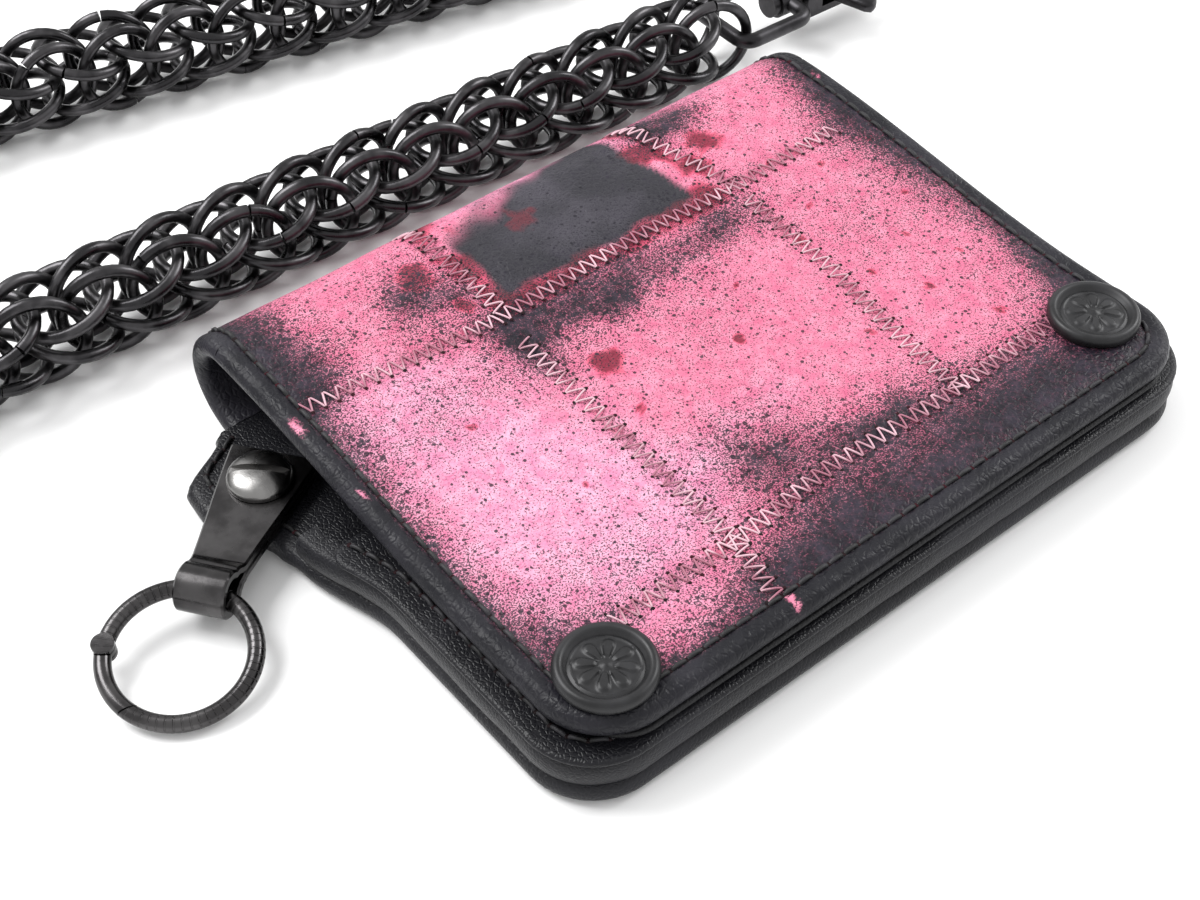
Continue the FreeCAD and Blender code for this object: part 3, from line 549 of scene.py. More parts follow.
def patchwork_leather():
    material, tree, shader, place = new_material("patchwork_leather")
    plus, minus, times = arithmetic(tree)
    textured = partial(noise_texture, tree, place)
    graded, mixed = partial(remap, tree), partial(mix_colours, tree)
    ink, charcoal, crimson, band, painted_highlight = (
        node(tree, "ShaderNodeAttribute", attribute_name=name).outputs["Fac"] for name in DYE_AND_HIGHLIGHT_LEVELS)
    spatter = textured(4200, 2, 0.6)
    mist = textured(420, 5, 0.65)
    cloudy = textured(90, 4)
    creased = textured(260, 6, 0.6, 1.5)

    warm = mixed(graded(mist, 0.3, 0.72), (0.58, 0.135, 0.235, 1), (0.74, 0.25, 0.36, 1))
    cool = mixed(graded(mist, 0.3, 0.72), (0.62, 0.215, 0.36, 1), (0.78, 0.39, 0.53, 1))
    # The lighter pink comes partly from random clouds and partly from the painted highlight clouds.
    pink = mixed(graded(plus(painted_highlight, minus(cloudy, 0.5)), 0.1, 0.9), warm, cool)
    # Darker pink along the crease lines is painted shade in the creases.
    crease_shade = times(graded(creased, 0.485, 0.515), minus(1.0, graded(creased, 0.515, 0.55)))
    pink = mixed(times(crease_shade, 0.35), pink, (0.45, 0.05, 0.14, 1))
    pooled = plus(crimson, times(creased, 0.9))
    stained = mixed(graded(pooled, 0.65, 1.0, 0.0, 0.6), pink, (0.50, 0.025, 0.07, 1))
    stained = mixed(graded(pooled, 0.95, 1.4, 0.0, 0.85), stained, (0.15, 0.010, 0.025, 1))
    grey = mixed(graded(cloudy, 0.4, 0.7), (0.026, 0.025, 0.031, 1), (0.052, 0.048, 0.060, 1))
    grey = mixed(graded(pooled, 0.85, 1.35, 0.0, 0.9), grey, (0.105, 0.022, 0.032, 1))
    patched = mixed(charcoal, stained, grey)

    grit = plus(times(graded(spatter, 0.33, 0.67), 0.74), times(mist, 0.34))
    speckle = graded(minus(grit, minus(0.77, times(ink, 0.66))), -0.03, 0.15, 0.0, 0.90)
    drops = node(tree, "ShaderNodeTexVoronoi", {"Vector": place}, Scale=1500.0)
    chance = first_out(tree, "ShaderNodeSeparateColor", {"Color": drops.outputs["Color"]})
    reach = plus(times(calculate(tree, "POWER", chance, 3.0), 0.5),
                 times(calculate(tree, "POWER", ink, 1.6), 0.6))
    dots = graded(minus(minus(reach, drops.outputs["Distance"]), 0.02), 0.0, 0.10, 0.0, 0.88)
    haze = graded(ink, 0.35, 1.05, 0.0, 0.85)
    bare = times(times(minus(1.0, speckle), minus(1.0, dots)), minus(1.0, haze))
    black = mixed(graded(mist, 0.4, 0.7), (0.008, 0.007, 0.012, 1), (0.022, 0.018, 0.030, 1))
    sprayed = mixed(minus(1.0, bare), patched, black)
    border = mixed(graded(cloudy, 0.4, 0.7), (0.007, 0.007, 0.010, 1), (0.020, 0.019, 0.025, 1))
    feed(tree, shader, {"Base Color": mixed(band, sprayed, border), "Specular IOR Level": 0.22,
                        "Roughness": graded(mist, 0.35, 0.7, 0.36, 0.54)})
    grain = node(tree, "ShaderNodeGroup", node_tree=LEATHER_GRAIN)
    feed(tree, grain, {"Vector": place, "Pebble": 1000.0})
    creases = bump(tree, shader, creased, 0.5, 0.0005)
    bump(tree, shader, grain.outputs["Height"], 0.5, 0.00010, creases)
    return material


PATCHWORK = patchwork_leather()

flap = leather_sheet(
    "flap", (FLAP_LEFT, FLAP_FRONT), (FLAP_RIGHT, FOLD_Y), (CORNER, CORNER, 0.0, 0.0),
    lambda x, y: flap_under(y), lambda x, y, edge: flap_under(y) + SHEET_THICK + flap_relief(x, y, edge),
    EDGE_ROUND, PATCHWORK, FLAP_STEP, square_back=True)
paint_patchwork(flap.data, lambda vertex: (
    vertex.co.x, vertex.co.y, flap_edge(vertex.co.x, vertex.co.y),
    vertex.co.z > flap_under(vertex.co.y) + 0.6 * SHEET_THICK))
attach(flap, "wallet_flap")
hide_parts("front_cover", "patchwork_front")


# Fold: the same dyed leather carried round the back as half a tube.
FOLD_STEPS = 40


def fold_point(x, angle, radius):
    return (x, FOLD_Y + radius * math.cos(angle), FOLD_TOP / 2 + radius * math.sin(angle))


def fold_flat_y(angle):
    """Place along the unrolled leather of a point round the fold."""
    return FOLD_Y + FOLD_RADIUS * (math.pi / 2 - angle)


def fold_radius_at(x, angle):
    """Outside radius with the patches' relief, calm at both straight edges."""
    flat = fold_flat_y(angle)
    calm = smooth(0, 6 * MM, flat - FOLD_Y) * smooth(-math.pi / 2, -math.pi / 2 + 0.5, angle)
    edge = min(x - FLAP_LEFT, FLAP_RIGHT - x)
    stitch_line = -STITCH_SINK * bell(edge - STITCH_INSET, STITCH_WIDE)
    groove = -GROOVE_DEEP * bell(seam_distance(x, flat), GROOVE_WIDE)
    return FOLD_RADIUS + calm * (stitch_line + groove + 0.25 * MM * wander(x, flat, 15 * MM, 1.0) - SETTLED)


def make_fold():
    angles = [math.pi / 2 - math.pi * k / FOLD_STEPS for k in range(FOLD_STEPS + 1)]
    rim = [EDGE_ROUND * (1 - math.cos(math.pi / 2 * k / 6)) for k in range(7)]
    run = FLAP_RIGHT - FLAP_LEFT - 2 * EDGE_ROUND
    middle = int(run / FLAP_STEP)
    stations = [FLAP_LEFT + r for r in rim]
    stations += [FLAP_LEFT + EDGE_ROUND + run * k / middle for k in range(1, middle)]
    stations += [FLAP_RIGHT - r for r in reversed(rim)]
    centre = FOLD_RADIUS - SHEET_THICK / 2
    points = []
    for x in stations:
        edge = max(min(x - FLAP_LEFT, FLAP_RIGHT - x), 0)
        fall = math.sqrt(max(1 - (1 - min(edge / EDGE_ROUND, 1)) ** 2, 0))
        for angle in angles:
            points.append(fold_point(x, angle, centre + (fold_radius_at(x, angle) - centre) * fall))
        for angle in reversed(angles):
            points.append(fold_point(x, angle, centre - SHEET_THICK / 2 * fall))
    return finish_mesh("fold", points, ring_faces(len(stations), 2 * len(angles)), PATCHWORK, 60)


def fold_unroll(vertex):
    x, y, z = vertex.co
    angle = math.atan2(z - FOLD_TOP / 2, max(y - FOLD_Y, 0))
    radius = math.hypot(y - FOLD_Y, z - FOLD_TOP / 2)
    outside = radius > FOLD_RADIUS - 0.4 * SHEET_THICK
    return x, fold_flat_y(angle), min(x - FLAP_LEFT, FLAP_RIGHT - x), outside


fold = make_fold()
paint_patchwork(fold.data, fold_unroll)
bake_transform(fold)
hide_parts("fold_spine")


# Back cover: one thick black hide under the pockets, cut in one with the wing on its left that carries the
# leash. Its edges are rounded and burnished.
WING = [(-60, 0), (-8, 0), (9, 3.5), (13, 4.4), (24, 9), (29, 8.6), (35.9, 0)]
WING_START = -30 * MM


def wing_reach(y):
    """How far the left edge stands out beyond the square cover."""
    for (y0, out0), (y1, out1) in zip(WING, WING[1:]):
        if y / MM <= y1:
            return (out0 + (out1 - out0) * smooth(y0, y1, y / MM)) * MM
    return WING[-1][1] * MM


BACK_RIGHT, BACK_FRONT = BACK_BOX[1][0], BACK_BOX[0][1]
back = leather_sheet(
    "back_cover_leather", (-BACK_RIGHT, BACK_FRONT), (BACK_RIGHT, FOLD_Y), (CORNER, CORNER, 0.0, 0.0),
    lambda x, y: 0.0, lambda x, y, edge: SHEET_THICK - 0.12 * MM + 0.1 * MM * wander(x, y, 9 * MM, 11.0),
    EDGE_ROUND, COVER_LEATHER, 1.2 * MM,
    lambda x, y: (x - wing_reach(y) * smooth(-WING_START, BACK_RIGHT, -x), y), square_back=True)
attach(back, "wallet_back")
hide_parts("back_cover")

# Pockets: a U-shaped leather strip makes the pockets thick, and a top leather is sewn over it that holds the
# snap studs. The cut edges are rounded over, burnished and waxed together.
WELT_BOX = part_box("pocket_welt")
TOP_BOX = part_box("pocket_cover")
WELT_WIDTH = 3.4 * MM
WELT_BULGE = 1.1 * MM
POCKET_STEP = 1.2 * MM
RIM_TURNS = 14
FLARE_BACK = 9 * MM


def pocket_rim():
    """Outer line of the pockets, from the right end round the front to the flare on the left."""
    back_end, low = WELT_BOX[1][1], BACK_FRONT + CORNER
    middle = BACK_RIGHT - CORNER
    line = [(BACK_RIGHT, back_end)]
    line += straight(line[0], (BACK_RIGHT, low), int((back_end - low) / POCKET_STEP))
    line += quarter(middle, low, CORNER, 0, -RIM_TURNS)[1:]
    line += straight((middle, BACK_FRONT), (-middle, BACK_FRONT), int(2 * middle / POCKET_STEP))
    line += quarter(-middle, low, CORNER, -90, -RIM_TURNS)[1:]
    side = straight((0, low), (0, FLARE_BACK), int((FLARE_BACK - low) / POCKET_STEP))
    return line + [(-BACK_RIGHT - wing_reach(y), y) for _, y in side]


def inward(line):
    """Unit vectors that point to the left of travel reversed: in toward the wallet's middle."""
    sides = []
    for k in range(len(line)):
        (ax, ay), (bx, by) = line[max(k - 1, 0)], line[min(k + 1, len(line) - 1)]
        length = math.hypot(bx - ax, by - ay)
        sides.append(((by - ay) / length, -(bx - ax) / length))
    return sides


def make_welt():
    low, high = SHEET_THICK - 0.1 * MM, TOP_BOX[0][2] + 0.05 * MM
    middle, half = (low + high) / 2, (high - low) / 2
    section = [(WELT_BULGE * (1 - math.cos(a)), middle + half * math.sin(a))
               for a in (math.pi * (k / 10 - 0.5) for k in range(11))]
    section += [(WELT_WIDTH, high), (WELT_WIDTH, low)]
    line = pocket_rim()
    points = []
    for (x, y), (nx, ny) in zip(line, inward(line)):
        wave = 0.12 * MM * wander(x, y, 6 * MM, 12.0)
        points += [(x + nx * (depth + wave), y + ny * (depth + wave), z) for depth, z in section]
    faces = ring_faces(len(line), len(section), capped=True)
    return finish_mesh("pocket_edge", points, faces, COVER_LEATHER)


welt = make_welt()
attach(welt, "wallet_back")
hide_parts("pocket_welt")
POCKET_TOP = TOP_BOX[1][2]
POCKET_BACK = TOP_BOX[1][1]
cover = leather_sheet(
    "pocket_top", (-BACK_RIGHT, BACK_FRONT), (BACK_RIGHT, POCKET_BACK), (CORNER, CORNER, 4 * MM, 4 * MM),
    lambda x, y: TOP_BOX[0][2], lambda x, y, edge: POCKET_TOP - 0.02 * MM, 0.7 * MM, COVER_LEATHER, 1.5 * MM,
    lambda x, y: (x - wing_reach(y) * smooth(-WING_START, BACK_RIGHT, -x), y))
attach(cover, "wallet_back")
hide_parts("pocket_cover")


# Inner leathers: the bill wall and two card panels between cover and pockets, cut away on the left for the
# leash, and the thin lining under the flap. All are thin undyed-edge black lining hide.
NOTCH = 4.8 * MM
LINER_CORNER = 6.6 * MM
LINER_INSET = 2 * MM


def notch_shift(x, y):
    """Moves the left side of a panel in, behind the flare, to leave room for the leash."""
    return x + NOTCH * smooth(-8 * MM, 12 * MM, y) * smooth(30 * MM, 53 * MM, -x), y


for panel_name in ("bill_wall", "card_slot_1", "card_slot_2"):
    panel_low, panel_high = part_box(panel_name)
    corner = 6.4 * MM if panel_name == "bill_wall" else 1 * MM
    panel = leather_sheet(
        panel_name + "_leather", panel_low[:2], panel_high[:2], (corner, corner, 2 * MM, 2 * MM),
        lambda x, y, z=panel_low[2]: z, lambda x, y, edge, z=panel_high[2]: z, 0.45 * MM, LINING_LEATHER,
        1.8 * MM, notch_shift)
    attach(panel, "wallet_back")
    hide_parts(panel_name)
LINER_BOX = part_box("front_liner")
LINER_THICK = FLAP_UNDER - LINER_BOX[0][2]
liner = leather_sheet(
    "flap_lining", LINER_BOX[0][:2], (LINER_BOX[1][0], FOLD_Y), (LINER_CORNER, LINER_CORNER, 0.0, 0.0),
    lambda x, y: flap_under(y) - LINER_THICK + 0.04 * MM, lambda x, y, edge: flap_under(y) + 0.1 * MM,
    0.4 * MM, LINING_LEATHER, 1.5 * MM, square_back=True)
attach(liner, "wallet_flap")
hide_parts("front_liner")


# Stitching: waxed thread. The patches are joined by a machine zigzag in thread that was sprayed with the
# leather; the edges are closed by a black lock stitch that pulls down into its holes. Each needle hole is a
# dark dot of painted shade.
def thread_material(name, dark, light, scale):
    material, tree, shader, place = new_material(name)
    tone = remap(tree, noise_texture(tree, place, scale, 3.0), 0.4, 0.62)
    feed(tree, shader, {"Base Color": mix_colours(tree, tone, (*dark, 1), (*light, 1)), "Roughness": 0.6})
    bump(tree, shader, noise_texture(tree, place, 5200.0, 2.0), 0.5, 0.00012)
    return material


SEAM_THREAD = thread_material("seam_thread", (0.34, 0.12, 0.17), (0.66, 0.42, 0.48), 170.0)
EDGE_THREAD = thread_material("edge_thread", (0.004, 0.004, 0.005), (0.016, 0.015, 0.019), 400.0)
# Needle holes: a near-black leather for the dots that stand in for the shade inside the holes.
HOLE_SHADE_LEATHER = black_leather("needle_hole", (0.006, 0.001, 0.002), (0.040, 0.003, 0.008), 2000.0, 0.8)


def node_group(name, floats, materials, whole=()):
    """A geometry node group with a geometry in and out and the named inputs, and its inputs' sockets."""
    tree = bpy.data.node_groups.new(name, "GeometryNodeTree")
    tree.interface.new_socket("Geometry", in_out="INPUT", socket_type="NodeSocketGeometry")
    for kind, labels in (("Float", floats), ("Int", whole), ("Material", materials)):
        for label in labels:
            tree.interface.new_socket(label, in_out="INPUT", socket_type=f"NodeSocket{kind}")
    tree.interface.new_socket("Geometry", in_out="OUTPUT", socket_type="NodeSocketGeometry")
    return tree, tree.nodes.new("NodeGroupInput").outputs


def vector_calculate(tree, operation, *values):
    """Vector arithmetic; for a scaling the second value is the factor."""
    places = (0, "Scale") if operation == "SCALE" else (0, 1)
    return first_out(tree, "ShaderNodeVectorMath", zip(places, values), operation=operation)


def stitch_group():
    """Thread along a line: it swings from side to side, lifts in mid-stitch and dips into holes drawn as
    dark dots of painted shade.
    """
    tree, given = node_group("stitch_row", ("Stitch", "Swing", "Thread", "Lift", "Hole"),
                             ("Thread Material", "Hole Material"))
    plus, minus, times = arithmetic(tree)
    vector, add = partial(vector_calculate, tree), partial(first_out, tree)
    line = add("GeometryNodeMeshToCurve", {"Mesh": given["Geometry"]})
    length = add("GeometryNodeSplineLength")
    stitches = calculate(tree, "ROUND", calculate(tree, "DIVIDE", length, given["Stitch"]))
    up = add("GeometryNodeInputNamedAttribute", data_type="FLOAT_VECTOR", Name="up")
    across = vector("NORMALIZE", vector("CROSS_PRODUCT", add("GeometryNodeInputTangent"), up))
    phase = times(add("GeometryNodeSplineParameter"), stitches)

    def swung(place):
        """Which side of the line a place is on, from -1 to 1, and how far that moves it."""
        side = minus(times(calculate(tree, "PINGPONG", place, 1.0), 2.0), 1.0)
        return side, vector("SCALE", across, times(side, times(given["Swing"], 0.5)))

    fine = add("GeometryNodeResampleCurve", {"Curve": line, "Count": plus(times(stitches, 6.0), 1.0)})
    side, sway = swung(phase)
    dip = calculate(tree, "POWER", calculate(tree, "ABSOLUTE", side), 4.0)
    raised = vector("SCALE", up, times(minus(0.55, times(dip, 1.6)), given["Lift"]))
    moved = add("GeometryNodeSetPosition", {"Geometry": fine, "Offset": vector("ADD", sway, raised)})
    profile = add("GeometryNodeCurvePrimitiveCircle", {"Radius": given["Thread"]}, Resolution=6)
    thread = add("GeometryNodeCurveToMesh", {"Curve": moved, "Profile Curve": profile})
    thread = add("GeometryNodeSetShadeSmooth", {"Geometry": thread})
    thread = add("GeometryNodeSetMaterial", {"Geometry": thread, "Material": given["Thread Material"]})

    # Flattened dark dots at the stitch ends: painted shade in the needle holes.
    ends = add("GeometryNodeResampleCurve", {"Curve": line, "Count": plus(stitches, 1.0)})
    _, sway = swung(calculate(tree, "ROUND", phase))
    ends = add("GeometryNodeSetPosition", {"Geometry": ends, "Offset": sway})
    dot = add("GeometryNodeMeshUVSphere", {"Radius": given["Hole"]}, Segments=7, Rings=4)
    facing = add("FunctionNodeAlignRotationToVector", {"Vector": up}, axis="Z")
    dots = add("GeometryNodeInstanceOnPoints", {"Points": ends, "Instance": dot, "Rotation": facing},
               Scale=(1.0, 1.0, 0.4))
    hole_shades = add("GeometryNodeRealizeInstances", {"Geometry": dots})
    hole_shades = add("GeometryNodeSetMaterial", {"Geometry": hole_shades, "Material": given["Hole Material"]})
    joined = node(tree, "GeometryNodeJoinGeometry")
    for part in (thread, hole_shades):
        tree.links.new(part, joined.inputs["Geometry"])
    node(tree, "NodeGroupOutput", {"Geometry": joined.outputs["Geometry"]})
    return tree


STITCH_ROW = stitch_group()


def grow(name, tree, points, edges, attributes, **inputs):
    """Runs a geometry node group on a bare mesh with vector attributes and keeps a plain mesh."""
    seed = bpy.data.meshes.new(name + "_line")
    seed.from_pydata(points, edges, [])
    for label, values in attributes.items():
        flat = [number for value in values for number in value]
        seed.attributes.new(label, "FLOAT_VECTOR", "POINT").data.foreach_set("vector", flat)
    source = bpy.data.objects.new(name + "_line", seed)
    bpy.context.scene.collection.objects.link(source)
    modifier = source.modifiers.new("grow", "NODES")
    modifier.node_group = tree
    for item in tree.interface.items_tree:
        label = item.name.replace(" ", "_")
        if item.in_out == "INPUT" and label in inputs:
            modifier[item.identifier] = inputs[label]
    graph = bpy.context.evaluated_depsgraph_get()
    mesh = bpy.data.meshes.new_from_object(source.evaluated_get(graph))
    bpy.data.objects.remove(source)
    made = bpy.data.objects.new(name, mesh)
    bpy.context.scene.collection.objects.link(made)
    return made


def sew(name, lines, **inputs):
    """Stitch rows along lines of (point, outward direction) pairs."""
    points, edges, ups = [], [], []
    for line in lines:
        first = len(points)
        for point, up in line:
            points.append(tuple(point))
            ups.append(tuple(up))
        edges += [(k, k + 1) for k in range(first, len(points) - 1)]
    return grow(name, STITCH_ROW, points, edges, {"up": ups}, **inputs)


def walk(path, step=1.0 * MM):
    """Points along a bent line, step apart."""
    spots = [path[0]]
    for start, end in zip(path, path[1:]):
        spots += straight(start, end, max(int(math.dist(start, end) / step), 1))
    return spots


ON_LEATHER = 0.05 * MM
SEAM_BRIDGE = 0.36 * MM


def on_flap(path, above=ON_LEATHER):
    return [((x, y, flap_top(x, y) + above), (0, 0, 1)) for x, y in walk(path)]


def on_fold(path, above=ON_LEATHER):
    line = []
    for x, y in walk(path):
        angle = math.pi / 2 - (y - FOLD_Y) / FOLD_RADIUS
        up = (0, math.cos(angle), math.sin(angle))
        line.append((fold_point(x, angle, fold_radius_at(x, angle) + above), up))
    return line


ZIGZAG = dict(Stitch=1.0 * MM, Swing=3.0 * MM, Thread=0.15 * MM, Lift=0.20 * MM, Hole=0.30 * MM,
              Thread_Material=SEAM_THREAD, Hole_Material=HOLE_SHADE_LEATHER)
LOCK = dict(Stitch=2.6 * MM, Swing=0.0, Thread=0.33 * MM, Lift=0.5 * MM, Hole=0.42 * MM,
            Thread_Material=EDGE_THREAD, Hole_Material=HOLE_SHADE_LEATHER)


def inset_rim(low, high, radius, inset):
    """Three sides of a rounded sheet at an inset: down the left, along the front, up the right."""
    left, right, front = low[0] + inset, high[0] - inset, low[1] + inset
    turn = radius - inset
    return [(left, high[1]), *quarter(left + turn, front + turn, turn, 180, 8),
            *quarter(right - turn, front + turn, turn, -90, 8), (right, high[1])]


flap_seams = [on_flap(path, SEAM_BRIDGE) for key, path in SEAMS.items() if key.startswith("seam")]
zigzags = sew("flap_zigzags", flap_seams, **ZIGZAG)
flap_rim = inset_rim((FLAP_LEFT, FLAP_FRONT), (FLAP_RIGHT, FOLD_Y - 0.3 * MM), CORNER, STITCH_INSET)
flap_lock = sew("flap_lock_stitch", [on_flap(flap_rim)], **LOCK)
for row in (zigzags, flap_lock):
    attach(row, "wallet_flap")
fold_end = FOLD_Y + FOLD_RADIUS * math.pi
fold_seams = [on_fold(SEAMS[key], SEAM_BRIDGE) for key in ("fold_left", "fold_right")]
fold_zigzags = sew("fold_zigzags", fold_seams, **ZIGZAG)
fold_lock = sew("fold_lock_stitch", [on_fold([(x, FOLD_Y), (x, fold_end)]) for x in
                                     (FLAP_LEFT + STITCH_INSET, FLAP_RIGHT - STITCH_INSET)], **LOCK)
for row in (fold_zigzags, fold_lock):
    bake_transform(row)
UNDER_SUNK = 0.5 * MM
rim_line = [(x + nx * STITCH_INSET, y + ny * STITCH_INSET)
            for (x, y), (nx, ny) in zip(pocket_rim(), inward(pocket_rim()))]
pocket_line = [((x, y, POCKET_TOP + 0.03 * MM), (0, 0, 1)) for x, y in rim_line if y < POCKET_BACK - 1 * MM]
wing_line = [((-BACK_RIGHT - wing_reach(y) + STITCH_INSET, y, SHEET_THICK), (0, 0, 1))
             for y in (k * MM for k in range(11, 35))]
back_line = [((x, y, UNDER_SUNK), (0, 0, -1)) for x, y in walk(
    inset_rim((-BACK_RIGHT, BACK_FRONT), (BACK_RIGHT, FOLD_Y), CORNER, STITCH_INSET))]
lining_line = [((x, y, flap_under(y) - LINER_THICK), (0, 0, -1)) for x, y in walk(
    inset_rim(LINER_BOX[0], (LINER_BOX[1][0], FOLD_Y), LINER_CORNER, LINER_INSET))]
lining_rows = sew("lining_stitches", [lining_line], **LOCK)
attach(lining_rows, "wallet_flap")
pocket_rows = sew("pocket_stitches", [pocket_line, wing_line, back_line], **LOCK)
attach(pocket_rows, "wallet_back")

# Metal finishes. Snap caps are satin black enamel on brass; leash, screw and key ring are black nickel, worn
# a little bright; the chain is oiled dark-grey steel; the clasps are the same steel, smoother.
def metal(name, dark, bright, roughness, scratch, metallic=1.0):
    material, tree, shader, place = new_material(name)
    cloudy = noise_texture(tree, place, 210.0, 5.0)
    tone = remap(tree, cloudy, 0.38, 0.66)
    feed(tree, shader, {"Base Color": mix_colours(tree, tone, (*dark, 1), (*bright, 1)),
                        "Roughness": remap(tree, cloudy, 0.35, 0.7, roughness, roughness + 0.12),
                        "Metallic": metallic})
    bump(tree, shader, noise_texture(tree, place, 2300.0, 3.0, distortion=0.8), scratch, 0.00004)
    return material


CAP_ENAMEL = metal("cap_enamel", (0.010, 0.010, 0.011), (0.022, 0.022, 0.024), 0.38, 0.25, 0.35)
SNAP_STEEL = metal("snap_steel", (0.10, 0.10, 0.105), (0.20, 0.20, 0.21), 0.28, 0.3)
BLACK_NICKEL = metal("black_nickel", (0.052, 0.050, 0.051), (0.085, 0.082, 0.083), 0.20, 0.2)
SCREW_NICKEL = metal("screw_nickel", (0.15, 0.147, 0.145), (0.26, 0.255, 0.25), 0.22, 0.35)
CHAIN_STEEL = metal("chain_steel", (0.035, 0.034, 0.036), (0.085, 0.082, 0.086), 0.27, 0.4)
CLASP_STEEL = metal("clasp_steel", (0.030, 0.029, 0.031), (0.060, 0.058, 0.062), 0.33, 0.3)
SPRING_STEEL = metal("bare_spring_steel", (0.25, 0.25, 0.26), (0.4, 0.4, 0.42), 0.25, 0.3)


def dress(material, *names):
    for name in names:
        surfaces = nodes_of[name].data.materials
        surfaces.clear()
        surfaces.append(material)


# Snap caps: stamped brass, domed, with a raised rolled rim and a plain eight-leaf rosette, black enamelled.
# Their hollow posts go down through the flap and are riveted into the spring sockets.
CAPS_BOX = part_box("snap_caps")
CAP_RISE = 1.9 * MM
POST_RADIUS = 1.7 * MM
CAP_BASE = CAPS_BOX[1][2] - CAP_RISE
POST_END = CAPS_BOX[0][2] - CAP_BASE
ROSETTE_RADIUS = 4.7 * MM
ROSETTE_STEPS = 24
CAP_SECTION = [(4.95, 1.36), (5.1, 1.5), (5.3, 1.76), (5.6, 1.88), (5.9, 1.86), (6.2, 1.7), (6.42, 1.4),
               (6.53, 1.0), (6.52, 0.5), (6.35, 0.12), (6.0, -0.05)]
SNAP_SPOTS = ((-45.8 * MM, -36.6 * MM), (46.7 * MM, -32.3 * MM))
ON_AXIS = 1e-6


def turned(centre, section, relief, segments):
    """A turned part: a section of (radius, height) swept round a vertical axis, with relief on its top."""
    points = []
    for radius, height in section:
        for angle in (2 * math.pi * k / segments for k in range(segments)):
            points.append(Vector((centre[0] + radius * math.cos(angle), centre[1] + radius * math.sin(angle),
                                  centre[2] + height + relief(radius, angle))))
    return points, ring_faces(len(section), segments)


def rosette(radius, angle):
    if radius > ROSETTE_RADIUS:
        return 0.0
    tip = smooth(0.55 * ROSETTE_RADIUS, 0.98 * ROSETTE_RADIUS, radius)
    leaf = abs(math.cos(4 * angle)) * (1 - tip * 0.7)
    ring = bell(radius - 0.93 * ROSETTE_RADIUS, 0.18 * MM)
    hub = bell(radius, 0.7 * MM)
    out = smooth(0.9 * MM, 1.6 * MM, radius) * (1 - smooth(4.0 * MM, 4.3 * MM, radius))
    return 0.30 * MM * smooth(0.35, 0.7, leaf) * out + 0.16 * MM * ring + 0.3 * MM * hub


def make_caps():
    shares = [k / ROSETTE_STEPS for k in range(ROSETTE_STEPS + 1)]
    section = [(ROSETTE_RADIUS * share + ON_AXIS, (1.1 + 0.22 * (1 - share ** 2)) * MM) for share in shares]
    section += [(radius * MM, height * MM) for radius, height in CAP_SECTION]
    section += [(POST_RADIUS, -0.05 * MM), (POST_RADIUS, POST_END), (ON_AXIS, POST_END)]
    points, faces = [], []
    for x, y in SNAP_SPOTS:
        cap_points, cap_faces = turned((x, y, CAP_BASE), section, rosette, 96)
        faces += [tuple(k + len(points) for k in face) for face in cap_faces]
        points += cap_points
    return finish_mesh("snap_cap_domes", points, faces, CAP_ENAMEL, 45)


caps = make_caps()
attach(caps, "wallet_flap")
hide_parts("snap_caps")
dress(SNAP_STEEL, "snap_sockets", "snap_studs", "snap_rivets")


# Leash plate: a tapered steel strap folded back on itself round the key ring, its edges bevelled, its two
# leaves clamped to the wing by the screw. Black nickel.
LEASH_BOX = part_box("leash_plate")
LEASH_ANGLE = math.radians(180 + 36.4)
LEASH_MIDDLE = (LEASH_BOX[0][2] + LEASH_BOX[1][2]) / 2
LEAF_THICK = 1.3 * MM
LEASH_EYE = 19 * MM
EYE_MIDDLE = (LEASH_BOX[1][2] - LEASH_BOX[0][2] - LEAF_THICK) / 2
LEASH_TAIL = 5.2 * MM
SCREW_SPOT = (-57.5 * MM, 22.3 * MM)
leash_turn = Matrix.Translation((*SCREW_SPOT, LEASH_MIDDLE)) @ Matrix.Rotation(LEASH_ANGLE, 4, "Z")


def strap_line():
    """Middle line of the strap's lower leaf, eye and upper leaf, as (along, up)."""
    leaf = [(-LEASH_TAIL + (LEASH_EYE - 4.6 * MM + LEASH_TAIL) * k / 12, -LEAF_THICK / 2) for k in range(13)]
    opening = math.radians(215)
    meet = (LEASH_EYE + EYE_MIDDLE * math.cos(opening), EYE_MIDDLE * math.sin(opening))
    last = leaf[-1]
    leaf += [(last[0] + (meet[0] - last[0]) * k / 5,
              last[1] + (meet[1] - last[1]) * smooth(0, 1, k / 5)) for k in range(1, 5)]
    sweep = [opening + (2 * math.pi + math.radians(145) - opening) * k / 22 for k in range(12)]
    half = leaf + [(LEASH_EYE + EYE_MIDDLE * math.cos(a), EYE_MIDDLE * math.sin(a)) for a in sweep]
    return half + [(along, -up) for along, up in reversed(half[:-1])]


def make_strap():
    line = strap_line()
    points = []
    bevel, half = 0.28 * MM, LEAF_THICK / 2 * 0.985
    for (along, up), (nx, nz) in zip(line, inward(line)):
        taper = smooth(-0.2, 1.0, (along + LEASH_TAIL) / (LEASH_EYE + 4.5 * MM + LEASH_TAIL))
        width = 3.5 * MM if along > LEASH_EYE - 3.4 * MM else (6.6 - 3.4 * taper) * MM
        for side, depth in ((-width + bevel, half), (width - bevel, half), (width, half - bevel),
                            (width, bevel - half), (width - bevel, -half), (-width + bevel, -half),
                            (-width, bevel - half), (-width, half - bevel)):
            points.append(leash_turn @ Vector((along - nx * depth, side, up - nz * depth)))
    return finish_mesh("leash_strap", points, ring_faces(len(line), 8, capped=True), BLACK_NICKEL, 32)


strap = make_strap()
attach(strap, nodes_of["leash_plate"]["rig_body"])
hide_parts("leash_plate")


